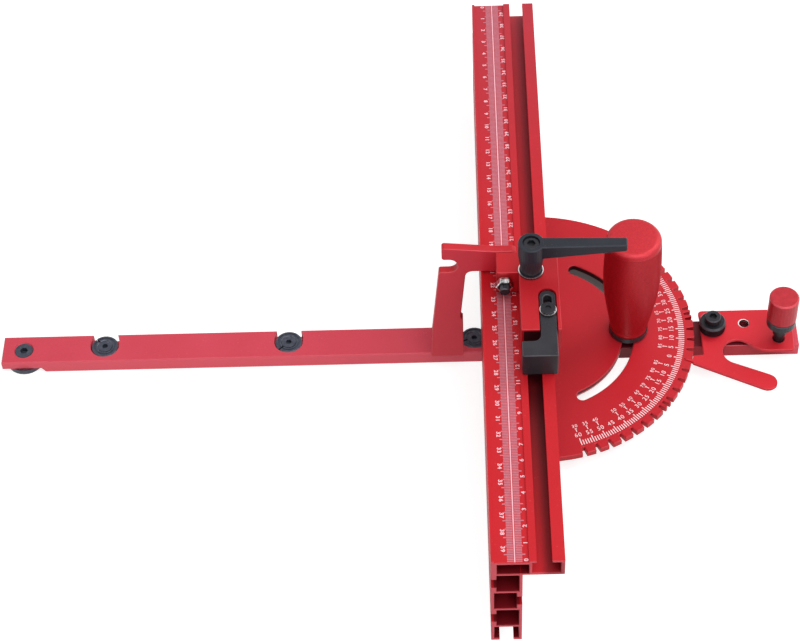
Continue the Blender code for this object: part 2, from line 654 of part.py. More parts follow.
def make_bracket():
    """Angle bracket on the head, bolted to nuts in the fence's back slot."""
    left = WEB_RIGHT + GAP
    low = PLATE_TOP + GAP
    half = BRACKET_HALF_LENGTH
    foot = [(left, -half), (left + BRACKET_REACH, -half)]
    edge = left + BRACKET_REACH
    turn = math.degrees(math.acos(edge / BRACKET_NOTCH_RADIUS))
    foot += arc((0, 0), BRACKET_NOTCH_RADIUS, -turn, turn - 360.0)
    foot += [(edge, half), (left, half)]
    holes = [circle((FOOT_SCREW_X, y), FOOT_SCREW_RADIUS + BORE_GAP, ROUND_SMALL)
             for y in (-FOOT_SCREW_Y, FOOT_SCREW_Y)]
    bracket = prism("fence_bracket", RED_HEAD, foot, low, low + BRACKET_THICKNESS, holes)
    upright = box("upright", None, (left, -half, low), (left + BRACKET_THICKNESS, half, low + BRACKET_HEIGHT))
    combine(bracket, upright, "UNION")
    for y in (-BRACKET_HOLE_Y, BRACKET_HOLE_Y):
        cutter = prism("cutter", None, circle((0, 0), FENCE_BOLT_RADIUS + BORE_GAP, ROUND_SMALL), -0.01, 0.01)
        place(cutter, (left, y, BACK_SLOT_Z), (0, math.radians(90), 0))
        bpy.context.view_layer.update()
        combine(bracket, cutter, "DIFFERENCE")

    lip_inside = WEB_RIGHT - FENCE_SLOT_WALL - GAP
    head_seat = left + BRACKET_THICKNESS + GAP
    bolt_length = head_seat - lip_inside + TNUT_DEPTH
    nut_half = CELL_HEIGHT / 2 - GAP
    nut_outline = [(-nut_half, -TNUT_LENGTH / 2), (nut_half, -TNUT_LENGTH / 2),
                   (nut_half, TNUT_LENGTH / 2), (-nut_half, TNUT_LENGTH / 2)]
    for name, y in (("near", -1.0), ("far", 1.0)):
        screw = cap_screw("bracket_screw_" + name, BLACK, FOOT_SCREW_HEAD, 0.0045, FOOT_SCREW_RADIUS,
                          BRACKET_THICKNESS + GAP + HEAD_THICKNESS, 0.0040)
        place(screw, (FOOT_SCREW_X, y * FOOT_SCREW_Y, low + BRACKET_THICKNESS + GAP))
        bolt = cap_screw("fence_bolt_" + name, BLACK, FENCE_BOLT_HEAD, FENCE_BOLT_HEAD_HEIGHT,
                         FENCE_BOLT_RADIUS, bolt_length, 0.0050)
        place(bolt, (head_seat, y * BRACKET_HOLE_Y, BACK_SLOT_Z), (0, math.radians(90), 0))
        nut = prism("fence_nut_" + name, STEEL, nut_outline, 0.0, TNUT_DEPTH,
                    [circle((0, 0), FENCE_BOLT_RADIUS + BORE_GAP, ROUND_SMALL)])
        place(nut, (lip_inside - TNUT_DEPTH, y * BRACKET_HOLE_Y, BACK_SLOT_Z), (0, math.radians(90), 0))


def make_stop():
    """Flip stop block, its clamp bolt in the track and the sliding limit stop."""
    outline = [(STOP_BODY_LEFT, STOP_FRONT), (STOP_BODY_RIGHT, STOP_FRONT), (STOP_BODY_RIGHT, STOP_BACK),
               (STOP_ARM_LEFT, STOP_BACK), (STOP_ARM_LEFT, STOP_ARM_FRONT), (STOP_BODY_LEFT, STOP_ARM_FRONT)]
    block = prism("stop_block", RED_HEAD, outline, STOP_BOTTOM, STOP_TOP, edge=STOP_EDGE)
    shank_top = STOP_TOP - LIMIT_SINK
    floor = shank_top - LIMIT_SHANK_THICKNESS - GAP
    spare = 0.002
    end_y = LIMIT_POCKET_END - LIMIT_POCKET_HALF
    pocket = arc((POCKET_CENTRE_X, end_y), LIMIT_POCKET_HALF, 0.0, 180.0)
    pocket += [(POCKET_CENTRE_X - LIMIT_POCKET_HALF, STOP_FRONT - spare),
               (POCKET_CENTRE_X + LIMIT_POCKET_HALF, STOP_FRONT - spare)]
    combine(block, prism("cutter", None, pocket, floor, STOP_TOP + spare), "DIFFERENCE")
    cut_round(block, (TRACK_X, CLAMP_Y), CLAMP_STUD_RADIUS + BORE_GAP, STOP_BOTTOM - spare, STOP_TOP + spare,
              ROUND_SMALL)
    screw_low = STOP_BOTTOM + 0.003
    cut_round(block, (POCKET_CENTRE_X, LIMIT_SCREW_Y), LIMIT_SCREW_RADIUS + BORE_GAP, screw_low - GAP,
              floor + spare, ROUND_SMALL)
    pin_hole = prism("cutter", None, circle((0, 0), FLIP_BOLT_RADIUS + BORE_GAP, ROUND_SMALL), -0.02, 0.02)
    place(pin_hole, (FLIP_AXIS_X, STOP_BACK, FLIP_AXIS_Z), (math.radians(90), 0, 0))
    bpy.context.view_layer.update()
    combine(block, pin_hole, "DIFFERENCE")
    set_origin(block, (TRACK_X, CLAMP_Y, STOP_BOTTOM))

    head_half = CLAMP_HEAD_WIDTH / 2
    head_top = FENCE_TOP - TRACK_LIP - GAP
    bolt = box("stop_t_bolt", STEEL, (-head_half, -head_half, head_top - CLAMP_HEAD_HEIGHT),
               (head_half, head_half, head_top))
    stud_low = head_top - CLAMP_HEAD_HEIGHT / 2
    stud_profile = [(0, stud_low), (CLAMP_STUD_RADIUS, stud_low), (CLAMP_STUD_RADIUS, CLAMP_STUD_TOP),
                    (0, CLAMP_STUD_TOP)]
    stud = lathe("stud", None, stud_profile, ROUND_SMALL)
    combine(bolt, stud, "UNION")
    place(bolt, (TRACK_X, CLAMP_Y, 0))
    washer = ring("clamp_washer", STEEL, CLAMP_STUD_RADIUS + BORE_GAP, CLAMP_WASHER_RADIUS, STOP_TOP + GAP,
                  STOP_TOP + GAP + WASHER_THICKNESS)
    place(washer, (TRACK_X, CLAMP_Y, 0))

    right = POCKET_CENTRE_X + LIMIT_SHANK_HALF
    left = POCKET_CENTRE_X - LIMIT_SHANK_HALF
    shank_end = LIMIT_POCKET_END - LIMIT_END_GAP
    half = LIMIT_SHANK_HALF
    corners = [(right, shank_end, half - 0.00001), (left, shank_end, half - 0.00001),
               (left, LIMIT_HEAD_BACK, LIMIT_FILLET), (LIMIT_HEAD_LEFT, LIMIT_HEAD_BACK, 0.0008),
               (LIMIT_HEAD_LEFT, LIMIT_HEAD_FRONT, 0.0008), (right, LIMIT_HEAD_FRONT, 0.0008)]
    slot_half = LIMIT_SLOT_HALF
    slot = arc((POCKET_CENTRE_X, LIMIT_SLOT_FAR - slot_half), slot_half, 0.0, 180.0, ROUND_SMALL)
    slot += arc((POCKET_CENTRE_X, LIMIT_SLOT_NEAR + slot_half), slot_half, 180.0, 360.0, ROUND_SMALL)
    limit = prism("limit_stop", BLACK, rounded(corners), shank_top - LIMIT_SHANK_THICKNESS, shank_top,
                  [slot], STOP_EDGE)
    inner = STOP_EDGE
    drop = [(LIMIT_HEAD_LEFT, LIMIT_HEAD_BACK, 0.0008), (LIMIT_HEAD_LEFT, LIMIT_HEAD_FRONT, 0.0008),
            (right, LIMIT_HEAD_FRONT, 0.0008), (right, LIMIT_HEAD_BACK, 0.0008)]
    head = prism("head", None, rounded(drop), LIMIT_HEAD_BOTTOM, shank_top - inner)
    combine(limit, head, "UNION")
    set_origin(limit, (POCKET_CENTRE_X, LIMIT_SCREW_Y, shank_top))
    washer = ring("limit_washer", STEEL, LIMIT_SCREW_RADIUS + BORE_GAP, LIMIT_WASHER_RADIUS,
                  shank_top + GAP, shank_top + GAP + WASHER_THICKNESS)
    place(washer, (POCKET_CENTRE_X, LIMIT_SCREW_Y, 0))
    seat = shank_top + 2 * GAP + WASHER_THICKNESS
    screw = cap_screw("limit_screw", BLACK, LIMIT_SCREW_HEAD, LIMIT_SCREW_HEAD_HEIGHT, LIMIT_SCREW_RADIUS,
                      seat - screw_low, 0.0030)
    place(screw, (POCKET_CENTRE_X, LIMIT_SCREW_Y, seat))


def make_lever():
    """Ratchet lever over the clamp bolt, with its centre screw."""
    foot = LEVER_FOOT
    shoulder = LEVER_TOP - LEVER_ARM_ROOT
    recess_floor = LEVER_TOP - LEVER_RECESS_DEPTH
    edge = 0.0005
    profile = [(0, foot), (LEVER_FOOT_RADIUS, foot), (LEVER_TOP_RADIUS, shoulder),
               (LEVER_TOP_RADIUS, LEVER_TOP - edge), (LEVER_TOP_RADIUS - edge, LEVER_TOP), (0, LEVER_TOP)]
    lever = lathe("clamp_lever", BLACK, profile, ROUND)
    root = 0.001
    half = LEVER_ARM_WIDTH / 2
    tip_half = LEVER_TIP_WIDTH / 2
    arm_top = LEVER_TOP - LEVER_SINK
    plan = [(root, -half, 0), (LEVER_LENGTH, -tip_half, 0.0010), (LEVER_LENGTH, tip_half, 0.0010),
            (root, half, 0)]
    arm = prism("arm", None, rounded(plan), shoulder - edge, arm_top, edge=0.0006)
    side = [(0.0, shoulder), (LEVER_LENGTH + root, LEVER_TOP - LEVER_ARM_TIP),
            (LEVER_LENGTH + root, LEVER_TOP + root), (0.0, LEVER_TOP + root)]
    profile_cut = prism("side", None, side, -LEVER_ARM_WIDTH, LEVER_ARM_WIDTH)
    place(profile_cut, (0, 0, 0), (math.radians(90), 0, 0))
    bpy.context.view_layer.update()
    combine(arm, profile_cut, "INTERSECT")
    combine(lever, arm, "UNION")
    cut_round(lever, (0, 0), LEVER_RECESS_RADIUS, recess_floor, LEVER_TOP + edge, ROUND_SMALL)
    cut_round(lever, (0, 0), CLAMP_STUD_RADIUS + BORE_GAP, foot - edge, CLAMP_STUD_TOP + GAP, ROUND_SMALL)
    cut_round(lever, (0, 0), LEVER_SCREW_RADIUS + BORE_GAP, CLAMP_STUD_TOP, recess_floor + edge, ROUND_SMALL)
    place(lever, (TRACK_X, CLAMP_Y, 0), (0, 0, math.radians(LEVER_TURN_DEG)))
    seat = LEVER_TOP - LEVER_HEAD_DROP - LEVER_HEAD_HEIGHT
    screw = cap_screw("lever_screw", BLACK, LEVER_HEAD_RADIUS, LEVER_HEAD_HEIGHT, LEVER_SCREW_RADIUS,
                      seat - CLAMP_STUD_TOP - GAP, 0.0040)
    place(screw, (TRACK_X, CLAMP_Y, seat))


def make_flip_arm():
    """Flip arm with its hanging leg, turning on a bolt through the block's arm."""
    axis = (FLIP_AXIS_X, FLIP_AXIS_Z)
    step_right = FLIP_LEG_FOOT_RIGHT - FLIP_LEG_STEP
    notch_low = FLIP_NOTCH_Z - FLIP_NOTCH_RADIUS
    notch_top = FLIP_NOTCH_Z + FLIP_NOTCH_RADIUS
    notch = arc((FLIP_NOTCH_X, FLIP_NOTCH_Z), FLIP_NOTCH_RADIUS, -90.0, 90.0)
    corners = [(FLIP_RIGHT, FLIP_TOP, FLIP_END_RADIUS), (FLIP_RIGHT, FLIP_CHIN_Z, FLIP_END_RADIUS),
               (FLIP_AXIS_X, FLIP_UNDERSIDE, FLIP_END_RADIUS)]
    corners += [(FLIP_LEG_TOP_RIGHT, FLIP_UNDERSIDE, 0.0040), (step_right, FLIP_LEG_STEP_Z + 0.0012, 0.0003),
                (FLIP_LEG_FOOT_RIGHT, FLIP_LEG_STEP_Z - 0.0006, 0.0003),
                (FLIP_LEG_FOOT_RIGHT, FLIP_FOOT_Z, 0.0005), (FLIP_LEG_FOOT_LEFT, FLIP_FOOT_Z, 0.0005),
                (FLIP_LEG_BEND_LEFT, FLIP_LEG_BEND_Z, 0.0100), (FLIP_LEG_TOP_LEFT, notch_low, 0.0012)]
    corners += [(x, z, 0) for x, z in notch]
    corners += [(FLIP_PRONG_LEFT, notch_top, 0.0015), (FLIP_PRONG_LEFT, FLIP_PRONG_TOP, 0.0015),
                (FLIP_RISE_X, FLIP_TOP, 0.0200)]
    outline = rounded(corners)
    hole = circle(axis, FLIP_BOLT_RADIUS + BORE_GAP, ROUND_SMALL)
    front = STOP_BACK + GAP
    arm = prism("flip_arm", RED_HEAD, outline, 0.0, FLIP_THICKNESS, [hole], FLIP_EDGE)
    set_origin(arm, (FLIP_AXIS_X, FLIP_AXIS_Z, 0))
    place(arm, (FLIP_AXIS_X, front + FLIP_THICKNESS, FLIP_AXIS_Z), (math.radians(90), 0, 0))

    back = front + FLIP_THICKNESS + GAP
    bolt = cap_screw("flip_bolt", BLACK, FLIP_BOLT_HEAD_RADIUS, FLIP_BOLT_HEAD_HEIGHT, FLIP_BOLT_RADIUS,
                     back - FLIP_BOLT_END, 0.0040)
    place(bolt, (FLIP_AXIS_X, back, FLIP_AXIS_Z), (math.radians(-90), 0, 0))
    nut_hole = circle((0, 0), FLIP_BOLT_RADIUS + BORE_GAP, ROUND_SMALL)
    nut = prism("flip_nut", STEEL, circle((0, 0), FLIP_NUT_RADIUS, 6), 0.0, FLIP_NUT_HEIGHT, [nut_hole],
                FLIP_EDGE)
    place(nut, (FLIP_AXIS_X, STOP_ARM_FRONT - GAP, FLIP_AXIS_Z), (math.radians(90), 0, 0))


def make_handle():
    """Bulged clamping handle on a stud through the arc slot."""
    low = PLATE_TOP + GAP
    stud_hole = HANDLE_STUD_RADIUS + BORE_GAP
    cup_top = low + HANDLE_WASHER_HEIGHT
    wall = HANDLE_WASHER_RADIUS - 0.0004
    seat = cup_top - HANDLE_CUP_DEPTH
    cup = [(stud_hole, low), (wall - 0.0004, low), (HANDLE_WASHER_RADIUS, low + 0.0008),
           (HANDLE_WASHER_RADIUS, cup_top), (HANDLE_FOOT_RADIUS + GAP, cup_top),
           (HANDLE_FOOT_RADIUS + GAP, seat), (stud_hole, seat)]
    washer = lathe("handle_washer", BLACK, cup, ROUND, closed=True)
    place(washer, (SLOT_RADIUS, 0, 0))
    foot = seat + GAP
    top = foot + HANDLE_HEIGHT + HANDLE_CUP_DEPTH
    stud_top = foot + HANDLE_STUD_REACH
    side = []
    steps = 9
    for i in range(steps + 1):
        share = i / steps
        bulge = math.sin(share * math.pi / 2) ** 1.15
        radius = HANDLE_FOOT_RADIUS + (HANDLE_BELLY_RADIUS - HANDLE_FOOT_RADIUS) * bulge
        side.append((radius, foot + HANDLE_CUP_DEPTH + share * HANDLE_HEIGHT * 0.84))
    rim = (HANDLE_BELLY_RADIUS - HANDLE_FILLET, top - HANDLE_FILLET)
    profile = [(0, stud_top + GAP), (stud_hole, stud_top + GAP), (stud_hole, foot),
               (HANDLE_FOOT_RADIUS, foot)]
    profile += side + arc(rim, HANDLE_FILLET, 0.0, 90.0, ROUND_SMALL) + [(0, top)]
    handle = lathe("handle", RED_HANDLE, profile, ROUND_FINE)
    place(handle, (SLOT_RADIUS, 0, 0))
    stud_low = BAR_HOLE_FLOOR + GAP
    stud_profile = [(0, stud_low), (HANDLE_STUD_RADIUS, stud_low), (HANDLE_STUD_RADIUS, stud_top),
                    (0, stud_top)]
    stud = lathe("handle_stud", STEEL, stud_profile, ROUND_SMALL)
    place(stud, (SLOT_RADIUS, 0, 0))


def make_index_lever():
    """Index lever with its tooth at the zero notch, pivot screw and spring plunger."""
    low = PLATE_TOP - INDEX_THICKNESS
    tooth_angle = math.radians(ZERO_ANGLE_DEG)
    out = Vector((math.cos(tooth_angle), math.sin(tooth_angle)))
    side = Vector((-out.y, out.x))
    flank = (NOTCH_MOUTH - NOTCH_ROOT) / 2 / NOTCH_DEPTH
    clear = GAP * math.sqrt(1 + flank * flank)
    tip_radius = HEAD_RADIUS + GAP
    shoulder_radius = HEAD_RADIUS + TOOTH_SHOULDER_LIFT
    tip_half = NOTCH_MOUTH / 2 + GAP * flank - clear
    base_half = NOTCH_MOUTH / 2 + TOOTH_SHOULDER_LIFT * flank - clear
    tooth = []
    for radius, half in ((shoulder_radius, TOOTH_SHOULDER / 2), (shoulder_radius, base_half),
                         (tip_radius, tip_half), (tip_radius, -tip_half),
                         (shoulder_radius, -base_half), (shoulder_radius, -TOOTH_SHOULDER / 2)):
        point = out * radius + side * half
        tooth.append((point.x, point.y, 0))

    along = math.radians(TAB_ANGLE_DEG)
    forward = Vector((math.cos(along), math.sin(along)))
    across = Vector((-forward.y, forward.x))
    tab_end = Vector((TAB_END_X, TAB_END_Y)) + forward * TAB_RADIUS
    lower = tab_end - across * TAB_RADIUS
    upper = tab_end + across * TAB_RADIUS
    tip_round = TAB_RADIUS - 0.00001
    scallop = arc((SCALLOP_X, SCALLOP_Y), SCALLOP_RADIUS, SCALLOP_START_DEG, SCALLOP_END_DEG)
    leave = math.radians(SCALLOP_END_DEG)
    last_x, last_y = scallop[-1]
    run = (last_y - INDEX_FRONT) / math.cos(leave)
    bend = (last_x + run * math.sin(leave), INDEX_FRONT, 0.012)
    corners = tooth + [(lower.x, lower.y, tip_round), (upper.x, upper.y, tip_round)]
    corners += [(x, y, 0) for x, y in scallop]
    corners += [bend, (INDEX_RIGHT - 0.0008, INDEX_FRONT, 0.0012), (INDEX_RIGHT, INDEX_SLANT_Y, 0.0012),
                (INDEX_SLANT_X, INDEX_BACK, 0.0012), (INDEX_LEFT - 0.0006, INDEX_BACK, 0.0022),
                (INDEX_LEFT, INDEX_BACK / 2, 0), (INDEX_LEFT, tooth[0][1] + 0.0012, 0.0010)]
    holes = [circle((INDEX_X, 0), INDEX_SHAFT_RADIUS + BORE_GAP, ROUND_SMALL),
             circle((INDEX_HOLE_X, INDEX_HOLE_Y), INDEX_HOLE_RADIUS, ROUND_SMALL),
             circle((PLUNGER_X, PLUNGER_Y), PLUNGER_NECK_RADIUS + BORE_GAP, ROUND_SMALL)]
    lever = prism("index_lever", RED_HEAD, rounded(corners), low, PLATE_TOP, holes, INDEX_EDGE)
    set_origin(lever, (INDEX_X, 0, PLATE_TOP))

    collar_low = PLATE_TOP + GAP
    collar_top = collar_low + INDEX_COLLAR_HEIGHT
    edge = 0.0005
    bore = INDEX_SHAFT_RADIUS + BORE_GAP
    wide = INDEX_COLLAR_RADIUS
    profile = [(bore, collar_low), (wide - edge, collar_low), (wide, collar_low + edge),
               (wide, collar_top - edge), (wide - edge, collar_top), (bore, collar_top)]
    collar = lathe("index_collar", BLACK, profile, ROUND, closed=True)
    place(collar, (INDEX_X, 0, 0))
    screw = cap_screw("index_screw", BLACK, INDEX_HEAD_RADIUS, INDEX_HEAD_HEIGHT, INDEX_SHAFT_RADIUS,
                      collar_top - BAR_HOLE_FLOOR, 0.0040)
    place(screw, (INDEX_X, 0, collar_top + GAP))

    neck = PLUNGER_NECK_RADIUS
    neck_top = PLATE_TOP + PLUNGER_NECK_HEIGHT
    rim = neck_top + PLUNGER_COLLAR_HEIGHT
    bore = PLUNGER_ROD_RADIUS + BORE_GAP
    wide = PLUNGER_COLLAR_RADIUS
    stem = PLUNGER_STEM_RADIUS
    stem_low = PLATE_TOP + PLUNGER_STEM_LOW
    cone_low = neck_top - edge
    profile = [(bore, low + GAP), (neck, low + GAP), (neck, stem_low), (stem, stem_low + edge),
               (stem, cone_low), (wide, neck_top + PLUNGER_CONE_HEIGHT), (wide, rim - edge),
               (wide - edge, rim), (bore, rim)]
    body = lathe("plunger_body", BLACK, profile, ROUND, closed=True)
    place(body, (PLUNGER_X, PLUNGER_Y, 0))
    knob_low = rim + GAP
    knob_top = knob_low + PLUNGER_KNOB_HEIGHT
    wide = PLUNGER_KNOB_RADIUS
    edge = PLUNGER_KNOB_EDGE
    rod_top = knob_low + PLUNGER_KNOB_HEIGHT / 2
    profile = [(0, rod_top + GAP), (bore, rod_top + GAP), (bore, knob_low), (wide - edge, knob_low),
               (wide, knob_low + edge), (wide, knob_top - edge), (wide - edge, knob_top), (0, knob_top)]
    knob = lathe("plunger_knob", RED_HANDLE, profile, ROUND)
    place(knob, (PLUNGER_X, PLUNGER_Y, 0))
    rod_low = low + 2 * GAP
    profile = [(0, rod_low), (PLUNGER_ROD_RADIUS, rod_low), (PLUNGER_ROD_RADIUS, rod_top), (0, rod_top)]
    rod = lathe("plunger_rod", STEEL, profile, ROUND_SMALL)
    place(rod, (PLUNGER_X, PLUNGER_Y, 0))


clear_scene()
RED = make_material("red_bar", (0.60, 0.055, 0.075), 0.38, 0.75)
RED_FENCE = make_material("red_fence", (0.62, 0.035, 0.045), 0.36, 0.75)
RED_HEAD = make_material("red_head", (0.55, 0.025, 0.032), 0.40, 0.70)
RED_HANDLE = make_material("red_handle", (0.50, 0.015, 0.022), 0.42, 0.70)
BLACK = make_material("black_steel", (0.022, 0.022, 0.026), 0.45, 0.35)
STEEL = make_material("bright_steel", (0.62, 0.62, 0.64), 0.25, 1.0)

make_bar()
make_discs()
make_head()
make_fence()
make_bracket()
make_stop()
make_lever()
make_flip_arm()
make_handle()
make_index_lever()

for item in bpy.context.scene.objects:
    item.data.shade_smooth()
    item.data.set_sharp_from_angle(angle=math.radians(32))
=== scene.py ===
# Miter gauge: finishes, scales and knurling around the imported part, in metres.
import math

import bmesh
import bpy
from mathutils import Matrix, Vector


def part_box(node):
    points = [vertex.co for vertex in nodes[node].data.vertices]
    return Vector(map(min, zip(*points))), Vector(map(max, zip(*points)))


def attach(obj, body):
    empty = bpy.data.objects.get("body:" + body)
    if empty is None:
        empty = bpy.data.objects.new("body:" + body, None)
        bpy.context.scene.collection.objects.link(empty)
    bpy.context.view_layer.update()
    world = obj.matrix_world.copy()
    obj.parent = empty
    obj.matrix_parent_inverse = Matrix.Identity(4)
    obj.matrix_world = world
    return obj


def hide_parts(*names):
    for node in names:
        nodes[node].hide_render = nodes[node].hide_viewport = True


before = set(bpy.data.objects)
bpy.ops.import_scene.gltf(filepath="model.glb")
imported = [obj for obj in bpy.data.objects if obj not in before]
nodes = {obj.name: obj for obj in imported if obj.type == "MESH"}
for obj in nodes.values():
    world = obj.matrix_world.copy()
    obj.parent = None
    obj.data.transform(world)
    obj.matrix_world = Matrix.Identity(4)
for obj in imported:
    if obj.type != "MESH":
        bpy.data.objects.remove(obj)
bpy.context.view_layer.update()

scene = bpy.context.scene
print("frame loaded,", len(nodes), "nodes")


# node helpers: a value given to a socket is either another node's output or a fixed value
def feed(tree, socket, value):
    if isinstance(value, bpy.types.NodeSocket):
        tree.links.new(value, socket)
    else:
        socket.default_value = value


def addNode(tree, kind, place, sockets=None, **settings):
    node = tree.nodes.new("ShaderNode" + kind)
    node.location = place
    for key, value in settings.items():
        setattr(node, key, value)
    for key, value in (sockets or {}).items():
        feed(tree, node.inputs[key], value)
    return node


def newGroup(name, inputs, outputs):
    tree = bpy.data.node_groups.new(name, "ShaderNodeTree")
    for label, kind, value in inputs:
        socket = tree.interface.new_socket(name=label, in_out="INPUT", socket_type="NodeSocket" + kind)
        socket.default_value = value
    for label, kind in outputs:
        tree.interface.new_socket(name=label, in_out="OUTPUT", socket_type="NodeSocket" + kind)
    groupIn = tree.nodes.new("NodeGroupInput")
    groupIn.location = (-900, 0)
    groupOut = tree.nodes.new("NodeGroupOutput")
    groupOut.location = (900, 0)
    return tree, groupIn.outputs, groupOut.inputs


def placeGroup(tree, group, place, sockets):
    return addNode(tree, "Group", place, sockets, node_tree=group).outputs


def mathStep(tree, place, operation, first, second=0.0):
    return addNode(tree, "Math", place, {0: first, 1: second}, operation=operation).outputs[0]


def vectorStep(tree, place, operation, first, second):
    return addNode(tree, "VectorMath", place, {0: first, 1: second}, operation=operation).outputs["Vector"]


def mapStep(tree, place, value, low, high, start=0.0, end=1.0):
    return addNode(tree, "MapRange", place, {
        "Value": value, "From Min": low, "From Max": high, "To Min": start, "To Max": end}).outputs["Result"]


def mixColours(tree, place, factor, first, second, blend="MIX"):
    return addNode(tree, "Mix", place, {"Factor": factor, 6: first, 7: second},
                   data_type="RGBA", blend_type=blend).outputs[2]


# shared effects, as groups
def makeBlastedGrain():     # fine matt grain of blasted and anodised aluminium, with slow cloudy variation
    tree, given, out = newGroup(
        "blastedGrain",
        [("Colour", "Color", (0.6, 0.05, 0.06, 1)), ("Cloud Colour", "Color", (0.5, 0.03, 0.04, 1)),
         ("Grain Scale", "Float", 2600.0), ("Cloud Scale", "Float", 22.0), ("Roughness", "Float", 0.4),
         ("Roughness Spread", "Float", 0.08), ("Lie", "Vector", (1.0, 1.0, 1.0))],
        [("Colour", "Color"), ("Roughness", "Float"), ("Height", "Float")])
    spot = addNode(tree, "TexCoord", (-900, 300)).outputs["Object"]
    cloud = addNode(tree, "TexNoise", (-600, 300), {
        "Vector": spot, "Scale": given["Cloud Scale"], "Detail": 3.0, "Roughness": 0.55}).outputs["Fac"]
    soft = mapStep(tree, (-400, 300), cloud, 0.35, 0.65)
    mixed = mixColours(tree, (-100, 200), soft, given["Colour"], given["Cloud Colour"])
    lie = vectorStep(tree, (-750, -100), "MULTIPLY", spot, given["Lie"])
    grain = addNode(tree, "TexNoise", (-600, -100), {
        "Vector": lie, "Scale": given["Grain Scale"], "Detail": 2.0, "Roughness": 0.6}).outputs["Fac"]
    centred = mathStep(tree, (-350, -100), "SUBTRACT", grain, 0.5)
    spread = mathStep(tree, (-150, -100), "MULTIPLY", centred, given["Roughness Spread"])
    feed(tree, out["Colour"], mixColours(tree, (300, 200), 0.10, mixed, grain, "OVERLAY"))
    feed(tree, out["Roughness"], mathStep(tree, (50, -100), "ADD", spread, given["Roughness"]))
    feed(tree, out["Height"], grain)
    return tree


def makeEdgeTint():     # small chamfers, which lean half way to the axis, made paler in uneven patches as a painted highlight, and paler ends, square to it
    tree, given, out = newGroup(
        "edgeHighlightAndPaleEnds",
        [("Colour", "Color", (0.6, 0.05, 0.06, 1)), ("Edge Highlight Colour", "Color", (0.8, 0.2, 0.25, 1)),
         ("Axis", "Vector", (0.0, 0.0, 1.0)), ("Strength", "Float", 0.6),
         ("Face Colour", "Color", (0.6, 0.05, 0.06, 1)), ("Face Strength", "Float", 0.0)],
        [("Colour", "Color"), ("Mask", "Float")])
    spot = addNode(tree, "TexCoord", (-900, 300)).outputs
    lean = addNode(tree, "VectorMath", (-700, 300), {0: spot["Normal"], 1: given["Axis"]},
                   operation="DOT_PRODUCT").outputs["Value"]
    size = mathStep(tree, (-500, 300), "ABSOLUTE", lean)
    gap = mathStep(tree, (-350, 300), "SUBTRACT", size, 0.7071)
    far = mathStep(tree, (-200, 300), "ABSOLUTE", gap)
    mask = mapStep(tree, (0, 300), far, 0.10, 0.22, 1.0, 0.0)
    edgePatches = addNode(tree, "TexNoise", (-200, 0), {"Vector": spot["Object"], "Scale": 90.0, "Detail": 3.0})
    uneven = mapStep(tree, (0, 0), edgePatches.outputs["Fac"], 0.3, 0.6, 0.55, 1.0)
    amount = mathStep(tree, (200, 200), "MULTIPLY", mask, uneven)
    scaled = mathStep(tree, (350, 200), "MULTIPLY", amount, given["Strength"])
    end = mapStep(tree, (0, 550), size, 0.9, 0.97)
    endAmount = mathStep(tree, (200, 550), "MULTIPLY", end, given["Face Strength"])
    faced = mixColours(tree, (400, 500), endAmount, given["Colour"], given["Face Colour"])
    feed(tree, out["Colour"], mixColours(tree, (600, 200), scaled, faced, given["Edge Highlight Colour"]))
    feed(tree, out["Mask"], amount)
    return tree


def makeHandlingMarks():    # a few faint rubs and specks of dust, in cloudy patches
    tree, given, out = newGroup(
        "handlingMarks",
        [("Colour", "Color", (0.6, 0.05, 0.06, 1)), ("Mark Colour", "Color", (0.9, 0.6, 0.6, 1)),
         ("Amount", "Float", 0.2), ("Scale", "Float", 400.0)],
        [("Colour", "Color"), ("Mask", "Float")])
    spot = addNode(tree, "TexCoord", (-900, 300)).outputs["Object"]
    cells = addNode(tree, "TexVoronoi", (-600, 300), {
        "Vector": spot, "Scale": given["Scale"], "Randomness": 1.0})
    small = mapStep(tree, (-350, 300), cells.outputs["Distance"], 0.10, 0.22, 1.0, 0.0)
    patch = addNode(tree, "TexNoise", (-600, -150), {"Vector": spot, "Scale": 60.0, "Detail": 3.0})
    where = mapStep(tree, (-350, -150), patch.outputs["Fac"], 0.52, 0.66)
    both = mathStep(tree, (-100, 200), "MULTIPLY", small, where)
    amount = mathStep(tree, (100, 200), "MULTIPLY", both, given["Amount"])
    feed(tree, out["Colour"], mixColours(tree, (400, 200), amount, given["Colour"], given["Mark Colour"]))
    feed(tree, out["Mask"], both)
    return tree


def makeInsideBox():    # 1 between two corners, with soft sides: where shade or a highlight is painted, in channels and under the plates, and where the floor's shadow is painted
    tree, given, out = newGroup(
        "insideBox",
        [("Low", "Vector", (-1.0, -1.0, -1.0)), ("High", "Vector", (1.0, 1.0, 1.0)),
         ("Soft", "Vector", (0.001, 0.001, 0.001))],
        [("Mask", "Float")])
    spot = addNode(tree, "TexCoord", (-900, 300)).outputs["Object"]
    sides = []
    for height, start, end in ((300, spot, given["Low"]), (50, given["High"], spot)):
        reach = vectorStep(tree, (-650, height), "SUBTRACT", start, end)
        grown = vectorStep(tree, (-450, height), "DIVIDE", reach, given["Soft"])
        above = vectorStep(tree, (-250, height), "MAXIMUM", grown, (0.0, 0.0, 0.0))
        sides.append(vectorStep(tree, (-80, height), "MINIMUM", above, (1.0, 1.0, 1.0)))
    both = vectorStep(tree, (100, 200), "MULTIPLY", sides[0], sides[1])
    parts = addNode(tree, "SeparateXYZ", (280, 200), {0: both}).outputs
    flat = mathStep(tree, (450, 250), "MULTIPLY", parts[0], parts[1])
    feed(tree, out["Mask"], mathStep(tree, (620, 200), "MULTIPLY", flat, parts[2]))
    return tree


blastedGrain = makeBlastedGrain()
edgeHighlightAndPaleEnds = makeEdgeTint()
handlingMarks = makeHandlingMarks()
insideBox = makeInsideBox()


